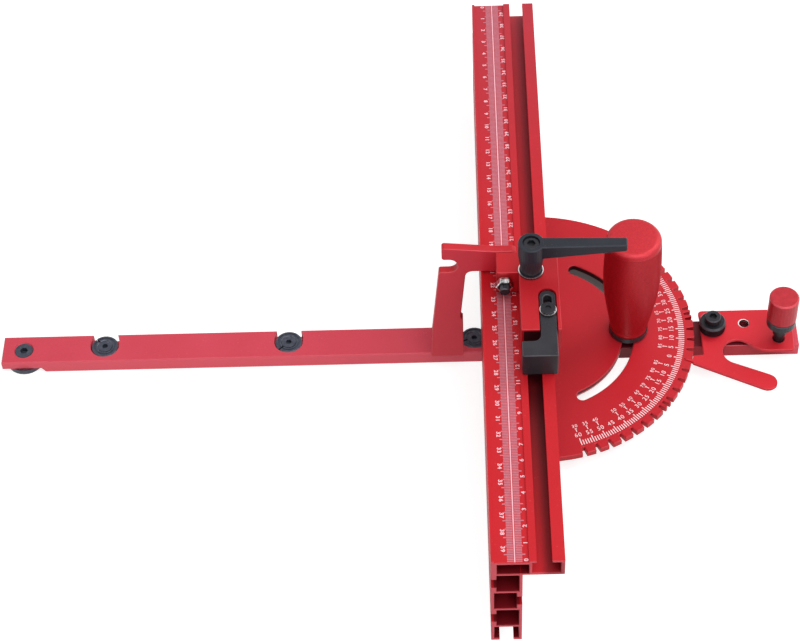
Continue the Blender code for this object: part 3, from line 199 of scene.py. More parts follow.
# finishes
def newMaterial(name, metallic, showColour):
    material = bpy.data.materials.new(name)
    material.use_nodes = True
    material.diffuse_color = (*showColour[:3], 1)
    shader = material.node_tree.nodes["Principled BSDF"]
    shader.inputs["Metallic"].default_value = metallic
    return material, material.node_tree, shader


def srgb(red, green, blue):     # screen values from 0 to 255, made linear
    return tuple((value / 255 / 12.92) if value <= 10 else ((value / 255 + 0.055) / 1.055) ** 2.4
                 for value in (red, green, blue)) + (1.0,)


def shadeChannels(tree, look, colour):      # painted shade down in channels, holes and pockets and under plates, and one painted highlight, each in its own box
    if "channels" not in look:
        return colour
    facing = addNode(tree, "TexCoord", (-900, -500)).outputs["Normal"]
    parts = addNode(tree, "SeparateXYZ", (-700, -500), {0: facing}).outputs
    endOn = mathStep(tree, (-500, -500), "ABSOLUTE", parts["Y"])
    notEnd = mapStep(tree, (-350, -500), endOn, 0.5, 0.9, 1.0, 0.0)
    for index, channel in enumerate(look["channels"]):
        height = -700 - 200 * index
        inside = placeGroup(tree, insideBox, (-500, height), {
            "Low": channel["low"], "High": channel["high"], "Soft": channel["soft"]})
        amount = mathStep(tree, (-300, height), "MULTIPLY", inside["Mask"], channel["depth"])
        if channel.get("keepEnds"):
            amount = mathStep(tree, (-150, height), "MULTIPLY", amount, notEnd)
        shade = channel.get("shade", look["shade"])
        colour = mixColours(tree, (-100 + 150 * index, 500), amount, colour, shade)
    return colour


def makeFinish(name, look):
    material, tree, shader = newMaterial(name, look["metallic"], look["colour"])
    grain = placeGroup(tree, blastedGrain, (-900, 200), {
        "Colour": look["colour"], "Cloud Colour": look["cloud"], "Grain Scale": look["grain"],
        "Cloud Scale": look["clouds"], "Roughness": look["rough"], "Roughness Spread": look["spread"],
        "Lie": look.get("lie", (1, 1, 1))})
    colour = grain["Colour"]
    if "edge" in look:      # painted edge highlight, and handling marks
        colour = placeGroup(tree, edgeHighlightAndPaleEnds, (-600, 200), {
            "Colour": colour, "Edge Highlight Colour": look["edge"], "Axis": look.get("axis", (0, 0, 1)),
            "Strength": look["edgeHighlightStrength"], "Face Colour": look.get("face", look["colour"]),
            "Face Strength": look.get("faceStrength", 0.0)})["Colour"]
        colour = placeGroup(tree, handlingMarks, (-350, 200), {
            "Colour": colour, "Mark Colour": look["edge"], "Amount": look["marks"],
            "Scale": look["markScale"]})["Colour"]
    bump = addNode(tree, "Bump", (-350, -200), {
        "Height": grain["Height"], "Strength": look["bump"], "Distance": look["bumpDepth"]}).outputs["Normal"]
    for label, value in (("Base Color", shadeChannels(tree, look, colour)), ("Roughness", grain["Roughness"]),
                         ("Specular IOR Level", look["sheen"]), ("Normal", bump)):
        feed(tree, shader.inputs[label], value)
    return material


def middleOf(name):
    low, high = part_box(name)
    return [(a + b) / 2 for a, b in zip(low, high)]


# places that the looks and the pieces share
fenceLow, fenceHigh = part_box("fence")
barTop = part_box("miter_bar")[1][2]
headLow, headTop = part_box("protractor_head")[0][2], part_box("protractor_head")[1][2]
limitBox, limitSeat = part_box("limit_stop"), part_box("limit_washer")[0][2]
webRight = -0.0155
trackLeft, trackRight = -0.0109, 0.0031
collarMiddle = middleOf("index_collar")
leverHole = {"beyond": 0.0180, "aside": 0.0030, "shadeHalf": 0.0034}       # the hole through the index lever, and half the width of the painted shade in it
holeX, holeY = collarMiddle[0] + leverHole["beyond"], leverHole["aside"]

# what a family of finishes shares, and each finish of it
anodisedFamily = {"metallic": 0.2, "rough": 0.44, "grain": 2400.0, "clouds": 22.0, "spread": 0.10,
                  "sheen": 0.3, "edgeHighlightStrength": 0.4, "marks": 0.22, "markScale": 400.0, "bump": 0.12,
                  "bumpDepth": 0.0002}
# in every look, edge is the colour of the painted edge highlight and also of the handling marks
anodisedLooks = {
    "barRed": {"colour": srgb(206, 69, 85), "cloud": srgb(201, 64, 80), "edge": srgb(232, 104, 118),
               "rough": 0.46, "grain": 1900.0, "lie": (0.35, 1.0, 1.0), "axis": (0, 1, 0),
               "face": srgb(236, 92, 108), "faceStrength": 0.9, "shade": srgb(76, 8, 17), "channels": [
                   # painted shade on the bar under the head and up to the index lever
                   {"low": (-0.016, -0.02, 0.0), "high": (0.1010, 0.02, barTop + 0.001), "depth": 0.9,
                    "soft": (0.003, 0.003, 0.001)},
                   # painted shade down the hole under the index lever
                   {"low": (holeX - leverHole["shadeHalf"], holeY - leverHole["shadeHalf"], 0.0),
                    "high": (holeX + leverHole["shadeHalf"], holeY + leverHole["shadeHalf"], barTop + 0.001),
                    "depth": 0.97, "soft": (0.0002, 0.0002, 0.0002)},
                   # painted shade on the bar's top under the index lever's plate and scallop
                   {"low": (0.100, -0.0092, barTop - 0.0004), "high": (0.143, 0.0092, barTop + 0.001),
                    "depth": 0.75, "soft": (0.003, 0.0004, 0.0003)},
                   # painted shade on the sides of the bar's right part
                   {"low": (0.06, -0.02, 0.0), "high": (0.152, 0.02, barTop - 0.0002), "depth": 0.85,
                    "soft": (0.02, 0.001, 0.0002), "shade": srgb(165, 22, 38)}]},
    "fenceRed": {"colour": srgb(195, 23, 35), "cloud": srgb(187, 20, 31), "edge": srgb(226, 95, 106),
                 "grain": 1900.0, "lie": (1.0, 0.30, 1.0), "axis": (0, 1, 0), "face": srgb(212, 78, 92),
                 "faceStrength": 0.85, "shade": srgb(92, 10, 20), "channels": [
                     # painted shadow of the right flange in the track, deepest towards its right side
                     {"low": (trackLeft + 0.0040, -1, 0.06),
                      "high": (trackRight + 0.0040, 1, fenceHigh[2] - 0.0008),
                      "depth": 0.62, "soft": (0.0040, 0.0015, 0.0015)},
                     # painted shade, dimmer towards the far end
                     {"low": (-1, 0.0, -1), "high": (1, 1, 1), "depth": 0.5, "soft": (0.001, 0.2, 0.001),
                      "shade": srgb(168, 62, 76)},
                     # painted shadow of the limit stop in the track
                     {"low": (trackLeft, -0.175, 0.06), "high": (trackRight, 0.02, fenceHigh[2] - 0.0008),
                      "depth": 0.75, "soft": (0.0008, 0.085, 0.0008), "shade": srgb(34, 6, 12)},
                     # painted shade inside the web's cells, not on the ends
                     {"low": (fenceLow[0] + 0.0012, -1, 0.0),
                      "high": (webRight - 0.0010, 1, fenceHigh[2] - 0.0022), "depth": 0.8,
                      "soft": (0.0004, 0.0004, 0.0004), "keepEnds": True},
                     # painted shade inside the cell under the track
                     {"low": (webRight - 0.0010, -1, fenceHigh[2] - 0.0110),
                      "high": (trackLeft - 0.0012, 1, fenceHigh[2] - 0.0022), "depth": 0.8,
                      "soft": (0.0004, 0.0004, 0.0004), "keepEnds": True}]},
    "headRed": {"colour": srgb(194, 30, 43), "cloud": srgb(185, 26, 38), "edge": srgb(212, 76, 88),
                "rough": 0.46, "clouds": 9.0, "shade": srgb(26, 16, 20), "channels": [
                    # painted shade on the upper arc slot's walls
                    {"low": (-0.012, 0.0, headLow + 0.0004), "high": (0.060, 0.062, headTop - 0.0003),
                     "depth": 0.92, "soft": (0.0004, 0.0004, 0.0004)},
                    # painted shade on the upper part of the lower arc slot's walls
                    {"low": (-0.012, -0.062, headTop - 0.0024), "high": (0.060, 0.0, headTop - 0.0003),
                     "depth": 0.85, "soft": (0.0004, 0.0004, 0.0006)},
                    # painted highlight on the lower part of the lower arc slot's walls: this box's shade
                    # colour is pale
                    {"low": (-0.012, -0.062, headLow + 0.0002), "high": (0.060, -0.010, headTop - 0.0026),
                     "depth": 0.85, "soft": (0.0004, 0.004, 0.0006), "shade": srgb(236, 208, 210)}]},
    "stopRed": {"colour": srgb(190, 28, 38), "cloud": srgb(183, 24, 34), "edge": srgb(216, 76, 88),
                "shade": srgb(20, 12, 14), "channels": [
                    # painted shade down in the pocket round the limit stop's shank
                    {"low": (limitBox[0][0] + 0.0010, limitBox[0][1], limitBox[0][2]),
                     "high": (limitBox[1][0] - 0.0010, limitBox[1][1] + 0.0020, limitSeat - 0.0006),
                     "depth": 0.94, "soft": (0.0003, 0.0003, 0.0005)}]},
    "flipRed": {"colour": srgb(192, 34, 45), "cloud": srgb(185, 30, 40), "edge": srgb(224, 92, 102),
                "axis": (0, 1, 0), "edgeHighlightStrength": 0.6, "face": srgb(220, 56, 74), "faceStrength": 0.8},
    "indexRed": {"colour": srgb(208, 36, 50), "cloud": srgb(201, 32, 45), "edge": srgb(216, 78, 90)},
    "gripRed": {"colour": srgb(194, 33, 45), "cloud": srgb(182, 28, 39), "edge": srgb(222, 70, 82),
                "metallic": 0.3, "rough": 0.42, "grain": 1500.0, "clouds": 900.0, "edgeHighlightStrength": 0.3,
                "sheen": 0.4, "bump": 0.45},
    "knobRed": {"colour": srgb(182, 34, 48), "cloud": srgb(168, 27, 40), "edge": srgb(228, 90, 102),
                "metallic": 0.3, "rough": 0.42, "grain": 1200.0, "clouds": 300.0, "edgeHighlightStrength": 0.6,
                "sheen": 0.4, "bump": 0.4},
}
blackFamily = {"metallic": 0.3, "grain": 3200.0, "clouds": 60.0, "spread": 0.14, "sheen": 0.35,
               "edgeHighlightStrength": 0.4, "marks": 0.30, "markScale": 500.0, "bump": 0.15, "bumpDepth": 0.0002}
blackLooks = {      # black oxide steel and black coated castings
    "blackSteel": {"colour": srgb(40, 40, 46), "cloud": srgb(32, 32, 37), "edge": srgb(120, 120, 128),
                   "rough": 0.38},
    "discBlack": {"colour": srgb(72, 76, 88), "cloud": srgb(56, 60, 72), "edge": srgb(150, 154, 166),
                  "rough": 0.40, "grain": 2600.0, "clouds": 500.0},
    "leverBlack": {"colour": srgb(41, 43, 52), "cloud": srgb(35, 37, 45), "edge": srgb(80, 84, 94),
                   "metallic": 0.0, "rough": 0.46, "grain": 1500.0, "bump": 0.25, "edgeHighlightStrength": 0.3,
                   "sheen": 0.2},
    "cupBlack": {"colour": srgb(56, 56, 61), "cloud": srgb(46, 46, 51), "edge": srgb(96, 96, 104),
                 "metallic": 0.2, "rough": 0.42, "grain": 2600.0, "sheen": 0.3},
    "limitBlack": {"colour": srgb(52, 51, 56), "cloud": srgb(43, 42, 47), "edge": srgb(112, 110, 115),
                   "metallic": 0.0, "rough": 0.44, "grain": 1600.0, "edgeHighlightStrength": 0.5, "sheen": 0.2},
    "knurlBlack": {"colour": srgb(34, 34, 40), "cloud": srgb(27, 27, 32), "edge": srgb(104, 104, 112),
                   "rough": 0.32},
}
brightFamily = {"metallic": 1.0, "grain": 2400.0, "spread": 0.12, "sheen": 0.5, "bump": 0.08,
                "bumpDepth": 0.0001}
brightLooks = {     # plated steel: the dark clouds of brightSteel are painted reflections of the room's streaks
    "brightSteel": {"colour": srgb(232, 230, 228), "cloud": srgb(84, 82, 86), "rough": 0.16, "clouds": 620.0},
    # bareMetalAndHighlight is the bare wall of the lever's hole, and also the painted highlight rings on the
    # washers' rims
    "bareMetalAndHighlight": {"colour": srgb(250, 246, 245), "cloud": srgb(236, 226, 226), "rough": 0.30, "clouds": 500.0},
}
markFamily = {"metallic": 0.0, "rough": 0.62, "grain": 3000.0, "clouds": 700.0, "spread": 0.1, "sheen": 0.5,
              "bump": 0.1, "bumpDepth": 0.0001}
markLooks = {       # pale engraved marks, a little uneven
    "dialMark": {"colour": srgb(250, 230, 233), "cloud": srgb(240, 206, 212)},
    "fenceMark": {"colour": srgb(190, 124, 137), "cloud": srgb(180, 110, 124)},
    "fenceLine": {"colour": srgb(238, 188, 198), "cloud": srgb(230, 174, 186)},
    "fenceFigure": {"colour": srgb(246, 204, 212), "cloud": srgb(238, 188, 198)},
}
finishes = {}
for family, looks in ((anodisedFamily, anodisedLooks), (blackFamily, blackLooks), (brightFamily, brightLooks),
                      (markFamily, markLooks)):
    for name, look in looks.items():
        finishes[name] = makeFinish(name, {**family, **look})
print("finishes made,", len(finishes))

finishNodes = {     # every other node is blackSteel
    "barRed": ["miter_bar"], "headRed": ["protractor_head", "fence_bracket"], "fenceRed": ["fence"],
    "stopRed": ["stop_block"], "flipRed": ["flip_arm"], "indexRed": ["index_lever"],
    "knobRed": ["plunger_knob"], "leverBlack": ["clamp_lever"], "limitBlack": ["limit_stop"],
    "cupBlack": ["handle_washer", "clamp_washer", "limit_washer"],
    "discBlack": ["anti_tip_screw", "anti_tip_washer", "expansion_disc_left", "expansion_disc_middle",
                  "expansion_disc_right", "disc_screw_left", "disc_screw_middle", "disc_screw_right"],
    "brightSteel": ["fence_nut_near", "fence_nut_far", "stop_t_bolt", "flip_nut", "handle_stud",
                    "plunger_rod"],
}
nodeFinish = {node: finish for finish, names in finishNodes.items() for node in names}
for name, node in nodes.items():
    material = finishes[nodeFinish.get(name, "blackSteel")]
    if not node.material_slots:
        node.data.materials.append(material)
    for slot in node.material_slots:
        slot.material = material


# softened edges on the sawn and milled parts
softEdges = {"fence": 0.00022, "stop_block": 0.00025, "fence_bracket": 0.0003, "limit_stop": 0.0003,
             "flip_nut": 0.0002}
softCorner = {"steps": 2, "angle": 38}


def softenEdges(piece, width):
    bevel = piece.modifiers.new("softEdge", "BEVEL")
    bevel.width = width
    bevel.segments = softCorner["steps"]
    bevel.limit_method = "ANGLE"
    bevel.angle_limit = math.radians(softCorner["angle"])
    bevel.harden_normals = True


for name, width in softEdges.items():
    softenEdges(nodes[name], width)
print("edges softened,", len(softEdges))


# small mesh helpers
boxGap = 0.00002        # keeps a round piece just inside the box of the node that it copies


def meshPiece(name, bm, material, body, smooth=False, crease=40):
    bmesh.ops.recalc_face_normals(bm, faces=bm.faces)
    mesh = bpy.data.meshes.new(name)
    bm.to_mesh(mesh)
    bm.free()
    mesh.materials.append(finishes[material])
    if smooth:
        mesh.shade_smooth()
        mesh.set_sharp_from_angle(angle=math.radians(crease))
    piece = bpy.data.objects.new(name, mesh)
    scene.collection.objects.link(piece)
    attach(piece, body)
    return piece


def addPrism(bm, corners, low, high):
    lower = [bm.verts.new((x, y, low)) for x, y in corners]
    upper = [bm.verts.new((x, y, high)) for x, y in corners]
    bm.faces.new(lower[::-1])
    bm.faces.new(upper)
    bridgeRings(bm, lower, upper)


def bridgeRings(bm, first, second):
    for i in range(len(first)):
        bm.faces.new((first[i - 1], first[i], second[i], second[i - 1]))


def addTurned(bm, centre, profile, around):
    # a turned form from a closed loop of (radius, z, shift towards the lower right)
    rings = []
    for radius, z, shift in profile:
        rings.append([bm.verts.new((centre[0] + shift + radius * math.cos(math.tau * i / around),
                                    centre[1] - shift + radius * math.sin(math.tau * i / around), z))
                      for i in range(around)])
    for first, second in zip(rings, rings[1:] + rings[:1]):
        bridgeRings(bm, first, second)


def addStroke(bm, centre, along, length, width, low, high):     # a thin bar lying on a face
    along = Vector((along[0], along[1])).normalized()
    side = Vector((-along.y, along.x))
    corners = [Vector(centre) + along * (a * length) + side * (b * width)
               for a, b in ((-0.5, -0.5), (0.5, -0.5), (0.5, 0.5), (-0.5, 0.5))]
    addPrism(bm, corners, low, high)


figure = {"size": 1.37, "depth": 0.5, "curveSteps": 3, "spread": 0.80, "weld": 0.0005}
digitShapes = {}


def digitMesh(digit, weight):    # one figure, 1 unit tall, cut from the built-in font
    key = (digit, weight)
    if key not in digitShapes:
        curve = bpy.data.curves.new("figure", "FONT")
        curve.body = digit
        curve.size = figure["size"]
        curve.offset = weight
        curve.extrude = figure["depth"]
        curve.resolution_u = figure["curveSteps"]
        curve.align_x = "CENTER"
        holder = bpy.data.objects.new("figure", curve)
        scene.collection.objects.link(holder)
        bpy.context.view_layer.update()
        shape = bpy.data.meshes.new_from_object(holder.evaluated_get(bpy.context.evaluated_depsgraph_get()))
        bpy.data.objects.remove(holder)
        bpy.data.curves.remove(curve)
        digitShapes[key] = shape
    return digitShapes[key]


def addNumber(bm, number, centre, up, height, low, high, weight, squeeze=1.0):
    up = Vector((up[0], up[1])).normalized()
    right = Vector((up.y, -up.x))
    text = str(number)
    for index, digit in enumerate(text):
        offset = (index - (len(text) - 1) / 2) * figure["spread"] * height * squeeze
        spot = Vector(centre) + right * offset - up * (height / 2)
        turn = Matrix(((right.x * height * squeeze, up.x * height, 0, spot.x),
                       (right.y * height * squeeze, up.y * height, 0, spot.y),
                       (0, 0, high - low, (low + high) / 2), (0, 0, 0, 1)))
        part = bmesh.new()
        part.from_mesh(digitMesh(digit, weight))
        bmesh.ops.remove_doubles(part, verts=part.verts, dist=figure["weld"])
        part.transform(turn)
        shape = bpy.data.meshes.new("part")
        part.to_mesh(shape)
        part.free()
        bm.from_mesh(shape)
        bpy.data.meshes.remove(shape)


# scale on the protractor head
dial = {"zero": -15.0, "reach": 60, "longEvery": 5, "tickOuter": 0.0829, "tickShort": 0.0032,
        "tickLong": 0.0046, "tickWidth": 0.00055, "outerRow": 0.0757, "outerHeight": 0.0027,
        "innerRow": 0.0695, "innerHeight": 0.0021, "innerLess": (0, 45), "dashFrom": 0.0714,
        "dashTo": 0.0737, "dashWidth": 0.00042, "serif": 0.0012, "bold": 0.005, "proud": 0.00003}


def makeDial():
    bm = bmesh.new()
    low, high = headTop - dial["proud"], headTop + dial["proud"]
    for step in range(-dial["reach"], dial["reach"] + 1):
        angle = math.radians(dial["zero"] + step)
        out = Vector((math.cos(angle), math.sin(angle)))
        numbered = step % dial["longEvery"] == 0
        length = dial["tickLong"] if numbered else dial["tickShort"]
        addStroke(bm, out * (dial["tickOuter"] - length / 2), out, length, dial["tickWidth"], low, high)
        if not numbered:
            continue
        addNumber(bm, abs(step), out * dial["outerRow"], -out, dial["outerHeight"], low, high, dial["bold"])
        if abs(step) in dial["innerLess"]:      # the inner row has no figure at these
            continue
        inner = 90 - abs(step)
        addNumber(bm, inner, out * dial["innerRow"], -out, dial["innerHeight"], low, high, dial["bold"])
        span = dial["dashTo"] - dial["dashFrom"]
        addStroke(bm, out * (dial["dashFrom"] + span / 2), out, span, dial["dashWidth"], low, high)
        addStroke(bm, out * dial["dashFrom"], (-out.y, out.x), dial["serif"], dial["dashWidth"], low, high)
    meshPiece("headScale", bm, "dialMark", "head")


makeDial()
print("dial drawn")


# scale on the fence
rule = {"x": -0.0194, "lineWidth": 0.00060, "tickInner": 0.0006, "tickShort": 0.0037, "tickMiddle": 0.0043,
        "tickLong": 0.0052, "tickWidth": 0.00062, "first": 0.195, "before": 4, "millimetres": 396,
        "numbers": 40, "leftRow": -0.0249, "rightRow": -0.0139, "figureHeight": 0.0021, "bold": 0.04,
        "squeeze": 1.1, "ahead": 0.0033, "proud": 0.00003, "below": 0.0010, "endGap": 0.0004}


def makeRule():
    line, ticks, figures = bmesh.new(), bmesh.new(), bmesh.new()
    face = fenceHigh[2] - rule["below"]
    low, high = face - rule["proud"], face + rule["proud"]
    reach = fenceHigh[1] - rule["endGap"]
    addStroke(line, (rule["x"], 0), (0, 1), 2 * reach, rule["lineWidth"], low, high)
    for step in range(-rule["before"], rule["millimetres"]):
        y = rule["first"] - step / 1000
        if abs(y) > reach:
            continue
        outer = rule["tickLong" if step % 10 == 0 else "tickMiddle" if step % 5 == 0 else "tickShort"]
        for side in (-1, 1):
            middle = rule["x"] + side * (rule["tickInner"] + outer) / 2
            addStroke(ticks, (middle, y), (1, 0), outer - rule["tickInner"], rule["tickWidth"], low, high)
    for number in range(rule["numbers"]):
        y = rule["first"] - number / 100
        for row, place, up in (("leftRow", y + rule["ahead"], 1), ("rightRow", -y - rule["ahead"], -1)):
            addNumber(figures, number, (rule[row], place), (up, 0), rule["figureHeight"], low, high,
                      rule["bold"], rule["squeeze"])
    meshPiece("fenceCentreLine", line, "fenceLine", "fence_body")
    meshPiece("fenceTicks", ticks, "fenceMark", "fence_body")
    meshPiece("fenceFigures", figures, "fenceFigure", "fence_body")


makeRule()
print("rule drawn")


# knurled pieces
tiny = 1e-7


def knurledShell(name, centre, profile, around, material, body, depth, band, rows, crease=40):
    # profile: (radius, z) from the bottom's middle to the top's; band: the two heights that the knurl fills
    bm = bmesh.new()

    def radiusAt(z):
        for (r0, z0), (r1, z1) in zip(profile, profile[1:]):
            if z0 <= z <= z1 and z1 > z0:
                return r0 + (r1 - r0) * (z - z0) / (z1 - z0)
        return profile[-1][0]

    steps = [(r, z, 0.0, 0) for r, z in profile if z <= band[0] + tiny]
    for row in range(rows + 1):
        z = band[0] + (band[1] - band[0]) * row / rows
        steps.append((radiusAt(z), z, 0.0 if row in (0, rows) else depth, row))
    steps += [(r, z, 0.0, 0) for r, z in profile if z >= band[1] - tiny]
    rings = []
    for radius, z, cut, row in steps:
        ring = []
        for index in range(around if radius > tiny else 1):
            angle = math.tau * index / around
            here = radius - (cut if (index + row) % 2 else 0.0)
            x, y = centre[0] + here * math.cos(angle), centre[1] + here * math.sin(angle)
            ring.append(bm.verts.new((x, y, z)))
        rings.append(ring)
    for first, second in zip(rings, rings[1:]):
        if len(first) == len(second):
            bridgeRings(bm, first, second)
            continue
        tip, rim = (first, second) if len(first) == 1 else (second, first)
        for index in range(around):
            bm.faces.new((tip[0], rim[index - 1], rim[index]))
    bmesh.ops.remove_doubles(bm, verts=bm.verts, dist=0.000002)
    return meshPiece(name, bm, material, body, smooth=True, crease=crease)


grip = {"foot": 0.0103, "cupDepth": 0.0012, "fillet": 0.0034, "filletSteps": 8, "sideSteps": 30,
        "bulgePower": 1.15, "bellyShare": 0.66, "neckIn": 0.0008, "boxGap": 0.00005, "depth": 0.00032,
        "around": 176, "rows": 116, "knurlUp": 0.0016, "knurlDown": 0.0004, "crease": 14}


def makeGrip():
    low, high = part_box("handle")
    belly = (high[0] - low[0]) / 2 - grip["boxGap"]
    foot, top = low[2], high[2]
    start = foot + grip["cupDepth"]
    fillet = grip["fillet"]
    profile = [(0, foot), (grip["foot"], foot)]
    for index in range(grip["sideSteps"] + 1):
        share = index / grip["sideSteps"]
        rise = min(1.0, share / grip["bellyShare"])
        fall = max(0.0, share - grip["bellyShare"]) / (1 - grip["bellyShare"])
        radius = grip["foot"] + (belly - grip["foot"]) * math.sin(rise * math.pi / 2) ** grip["bulgePower"]
        profile.append((radius - grip["neckIn"] * fall ** 2, start + share * (top - fillet - start)))
    rim = belly - grip["neckIn"] - fillet
    for index in range(1, grip["filletSteps"] + 1):
        turn = math.pi / 2 * index / grip["filletSteps"]
        profile.append((rim + fillet * math.cos(turn), top - fillet + fillet * math.sin(turn)))
    profile.append((0, top))
    band = (start + grip["knurlUp"], top - fillet - grip["knurlDown"])
    piece = knurledShell("handleGrip", middleOf("handle"), profile, grip["around"], "gripRed", "handle_body",
                         grip["depth"], band, grip["rows"], crease=grip["crease"])
    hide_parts("handle")


makeGrip()

collar = {"around": 72, "rows": 10, "depth": 0.00035, "bore": 0.0036, "edge": 0.0009, "lowShare": 0.6,
          "topShare": 1.3}


def makeIndexCollar():
    low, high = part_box("index_collar")
    wide = (high[0] - low[0]) / 2 - boxGap
    bottom, top = low[2], high[2]
    edge = collar["edge"]
    lowEdge, topEdge = edge * collar["lowShare"], edge * collar["topShare"]
    profile = [(collar["bore"], bottom), (wide - lowEdge, bottom), (wide, bottom + lowEdge),
               (wide, bottom + edge), (wide, top - topEdge), (wide - edge, top), (collar["bore"], top)]
    piece = knurledShell("indexCollarKnurled", collarMiddle, profile, collar["around"], "knurlBlack", "bar",
                         collar["depth"], (bottom + edge, top - topEdge), collar["rows"])
    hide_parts("index_collar")


makeIndexCollar()
print("knurls cut")


# nodes drawn again, a little nearer to the real pieces
def reshapedNode(name, node, material, body, reshape):
    bm = bmesh.new()
    bm.from_mesh(nodes[node].data)
    for vert in bm.verts:
        reshape(vert.co)
    piece = meshPiece(name, bm, material, body, smooth=True)
    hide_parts(node)
    return piece


def ringPiece(name, centre, profile, around, material, body):
    bm = bmesh.new()
    addTurned(bm, centre, profile, around)
    meshPiece(name, bm, material, body, smooth=True)


def distanceFrom(centre, spot, axes):
    return math.hypot(*(spot[axis] - centre[axis] for axis in axes))


def scaleFrom(centre, spot, axes, share):
    for axis in axes:
        spot[axis] = centre[axis] + (spot[axis] - centre[axis]) * share


plate = {"thin": 0.0021, "gap": 0.0001, "bushRadius": 0.0056, "bushBore": 0.0038, "liner": 0.0031,
         "linerWall": 0.0003, "linerShift": 0.0002, "linerGap": 0.0002, "around": 40}


def makeIndexPlate():       # a thin plate on a bush, with the bright wall of its hole
    low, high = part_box("index_lever")
    lift = (high[2] - low[2]) - plate["thin"]
    middle = (low[2] + high[2]) / 2

    def thinned(spot):
        if spot.z < middle:
            spot.z += lift

    reshapedNode("indexPlate", "index_lever", "indexRed", "index", thinned)
    bottom, top = low[2], high[2] - plate["thin"] - plate["gap"]
    bore, radius = plate["bushBore"], plate["bushRadius"]
    ringPiece("indexBush", (collarMiddle[0], 0.0), [(bore, bottom, 0), (radius, bottom, 0), (radius, top, 0),
                                                    (bore, top, 0)], plate["around"], "blackSteel", "index")
    outer = plate["liner"] - boxGap
    inner, shift = outer - plate["linerWall"], plate["linerShift"]
    bottom, top = top + plate["linerGap"], high[2] - plate["linerGap"]
    ringPiece("holeLiner", (holeX, holeY), [(inner, bottom, shift), (outer, bottom, 0), (outer, top, 0),
                                            (inner, top, shift)], plate["around"], "bareMetalAndHighlight", "index")


makeIndexPlate()

clampArm = {"hub": 0.0071, "rootShift": 0.0009, "tipShift": 0.0007, "soft": 0.0004}


def makeClampLever():    # its arm leaves the hub a little behind the middle
    centre = middleOf("lever_screw")
    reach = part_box("clamp_lever")[1][0] - centre[0]

    def shifted(spot):
        out = spot.x - centre[0]
        if out > 0 and distanceFrom(centre, spot, (0, 1)) > clampArm["hub"]:
            spot.y += clampArm["rootShift"] + clampArm["tipShift"] * out / reach

    piece = reshapedNode("clampArm", "clamp_lever", "leverBlack", "lever", shifted)
    softenEdges(piece, clampArm["soft"])


makeClampLever()

limitHead = {"shaft": 0.0022, "squash": 0.3, "spread": 1.15, "near": 0.0001}


def makeLimitScrew():    # a low wide head
    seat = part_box("limit_washer")[1][2]
    centre = middleOf("limit_screw")

    def flattened(spot):
        if spot.z > seat - limitHead["near"]:
            spot.z = seat + max(0.0, spot.z - seat) * limitHead["squash"]
            if distanceFrom(centre, spot, (0, 1)) > limitHead["shaft"]:
                scaleFrom(centre, spot, (0, 1), limitHead["spread"])

    reshapedNode("limitScrewLow", "limit_screw", "blackSteel", "stop", flattened)


makeLimitScrew()

hingeHead = {"shaft": 0.0029, "shrink": 0.68, "height": 0.0034}


def makeHingeBolt():    # a small head that stays behind the flip arm
    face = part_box("flip_bolt")[1][1] - hingeHead["height"]
    centre = middleOf("flip_bolt")

    def shrunk(spot):
        if spot.y > face and distanceFrom(centre, spot, (0, 2)) > hingeHead["shaft"]:
            scaleFrom(centre, spot, (0, 2), hingeHead["shrink"])

    reshapedNode("hingeBolt", "flip_bolt", "blackSteel", "stop", shrunk)


makeHingeBolt()

# a bright ring on each black washer's rim: a painted highlight
washerHighlight = {"width": 0.00042, "proud": 0.00006, "sunk": 0.0002, "around": 64}
for node, name in (("clamp_washer", "clampWasherHighlight"), ("limit_washer", "limitWasherHighlight")):
    low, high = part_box(node)
    outer = (high[0] - low[0]) / 2 - boxGap
    inner = outer - washerHighlight["width"]
    bottom, top = high[2] - washerHighlight["sunk"], high[2] + washerHighlight["proud"]
    profile = [(inner, bottom, 0), (outer, bottom, 0), (outer, top, 0), (inner, top, 0)]
    ringPiece(name, middleOf(node), profile, washerHighlight["around"], "bareMetalAndHighlight", "stop")

tipWasher = {"bore": 0.0065, "less": 0.0014}


def makeTipWasher():        # narrower than the solid
    centre = middleOf("anti_tip_washer")

    def narrowed(spot):
        radius = distanceFrom(centre, spot, (0, 1))
        if radius > tipWasher["bore"]:
            scaleFrom(centre, spot, (0, 1), (radius - tipWasher["less"]) / radius)

    reshapedNode("tipWasher", "anti_tip_washer", "discBlack", "bar", narrowed)


makeTipWasher()

barStep = {"length": 0.0255, "footShift": 0.0012, "rootShift": 0.0034, "near": 0.0006, "footHeight": 0.0015,
           "soft": 0.00025}


def makeBar():      # the step of the thin end slants
    low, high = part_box("miter_bar")
    step = low[0] + barStep["length"]
    middle = (low[2] + high[2]) / 2

    def slanted(spot):
        if abs(spot.x - step) < barStep["near"] and spot.z < middle:
            spot.x -= barStep["footShift"] if spot.z < barStep["footHeight"] else barStep["rootShift"]

    piece = reshapedNode("guideBar", "miter_bar", "barRed", "bar", slanted)
    softenEdges(piece, barStep["soft"])


makeBar()
print("small parts redrawn")

# tooth in the zero notch; outline: out from the rim, and along it
tooth = {"angle": -15.0, "rim": 0.0885, "drop": 0.0001, "thickness": 0.0019,
         "outline": [(0.0009, -0.00105), (0.0072, 0.0023), (0.0058, 0.0054), (0.00025, 0.0034),
                     (0.00025, 0.00105), (-0.0037, 0.00035), (-0.0037, -0.00035)]}


def makeTooth():
    angle = math.radians(tooth["angle"])
    out = Vector((math.cos(angle), math.sin(angle)))
    side = Vector((-out.y, out.x))
    top = headTop - tooth["drop"]
    bm = bmesh.new()
    corners = [out * (tooth["rim"] + beyond) + side * along for beyond, along in tooth["outline"]]
    addPrism(bm, corners, top - tooth["thickness"], top)
    meshPiece("indexTooth", bm, "indexRed", "index")


makeTooth()

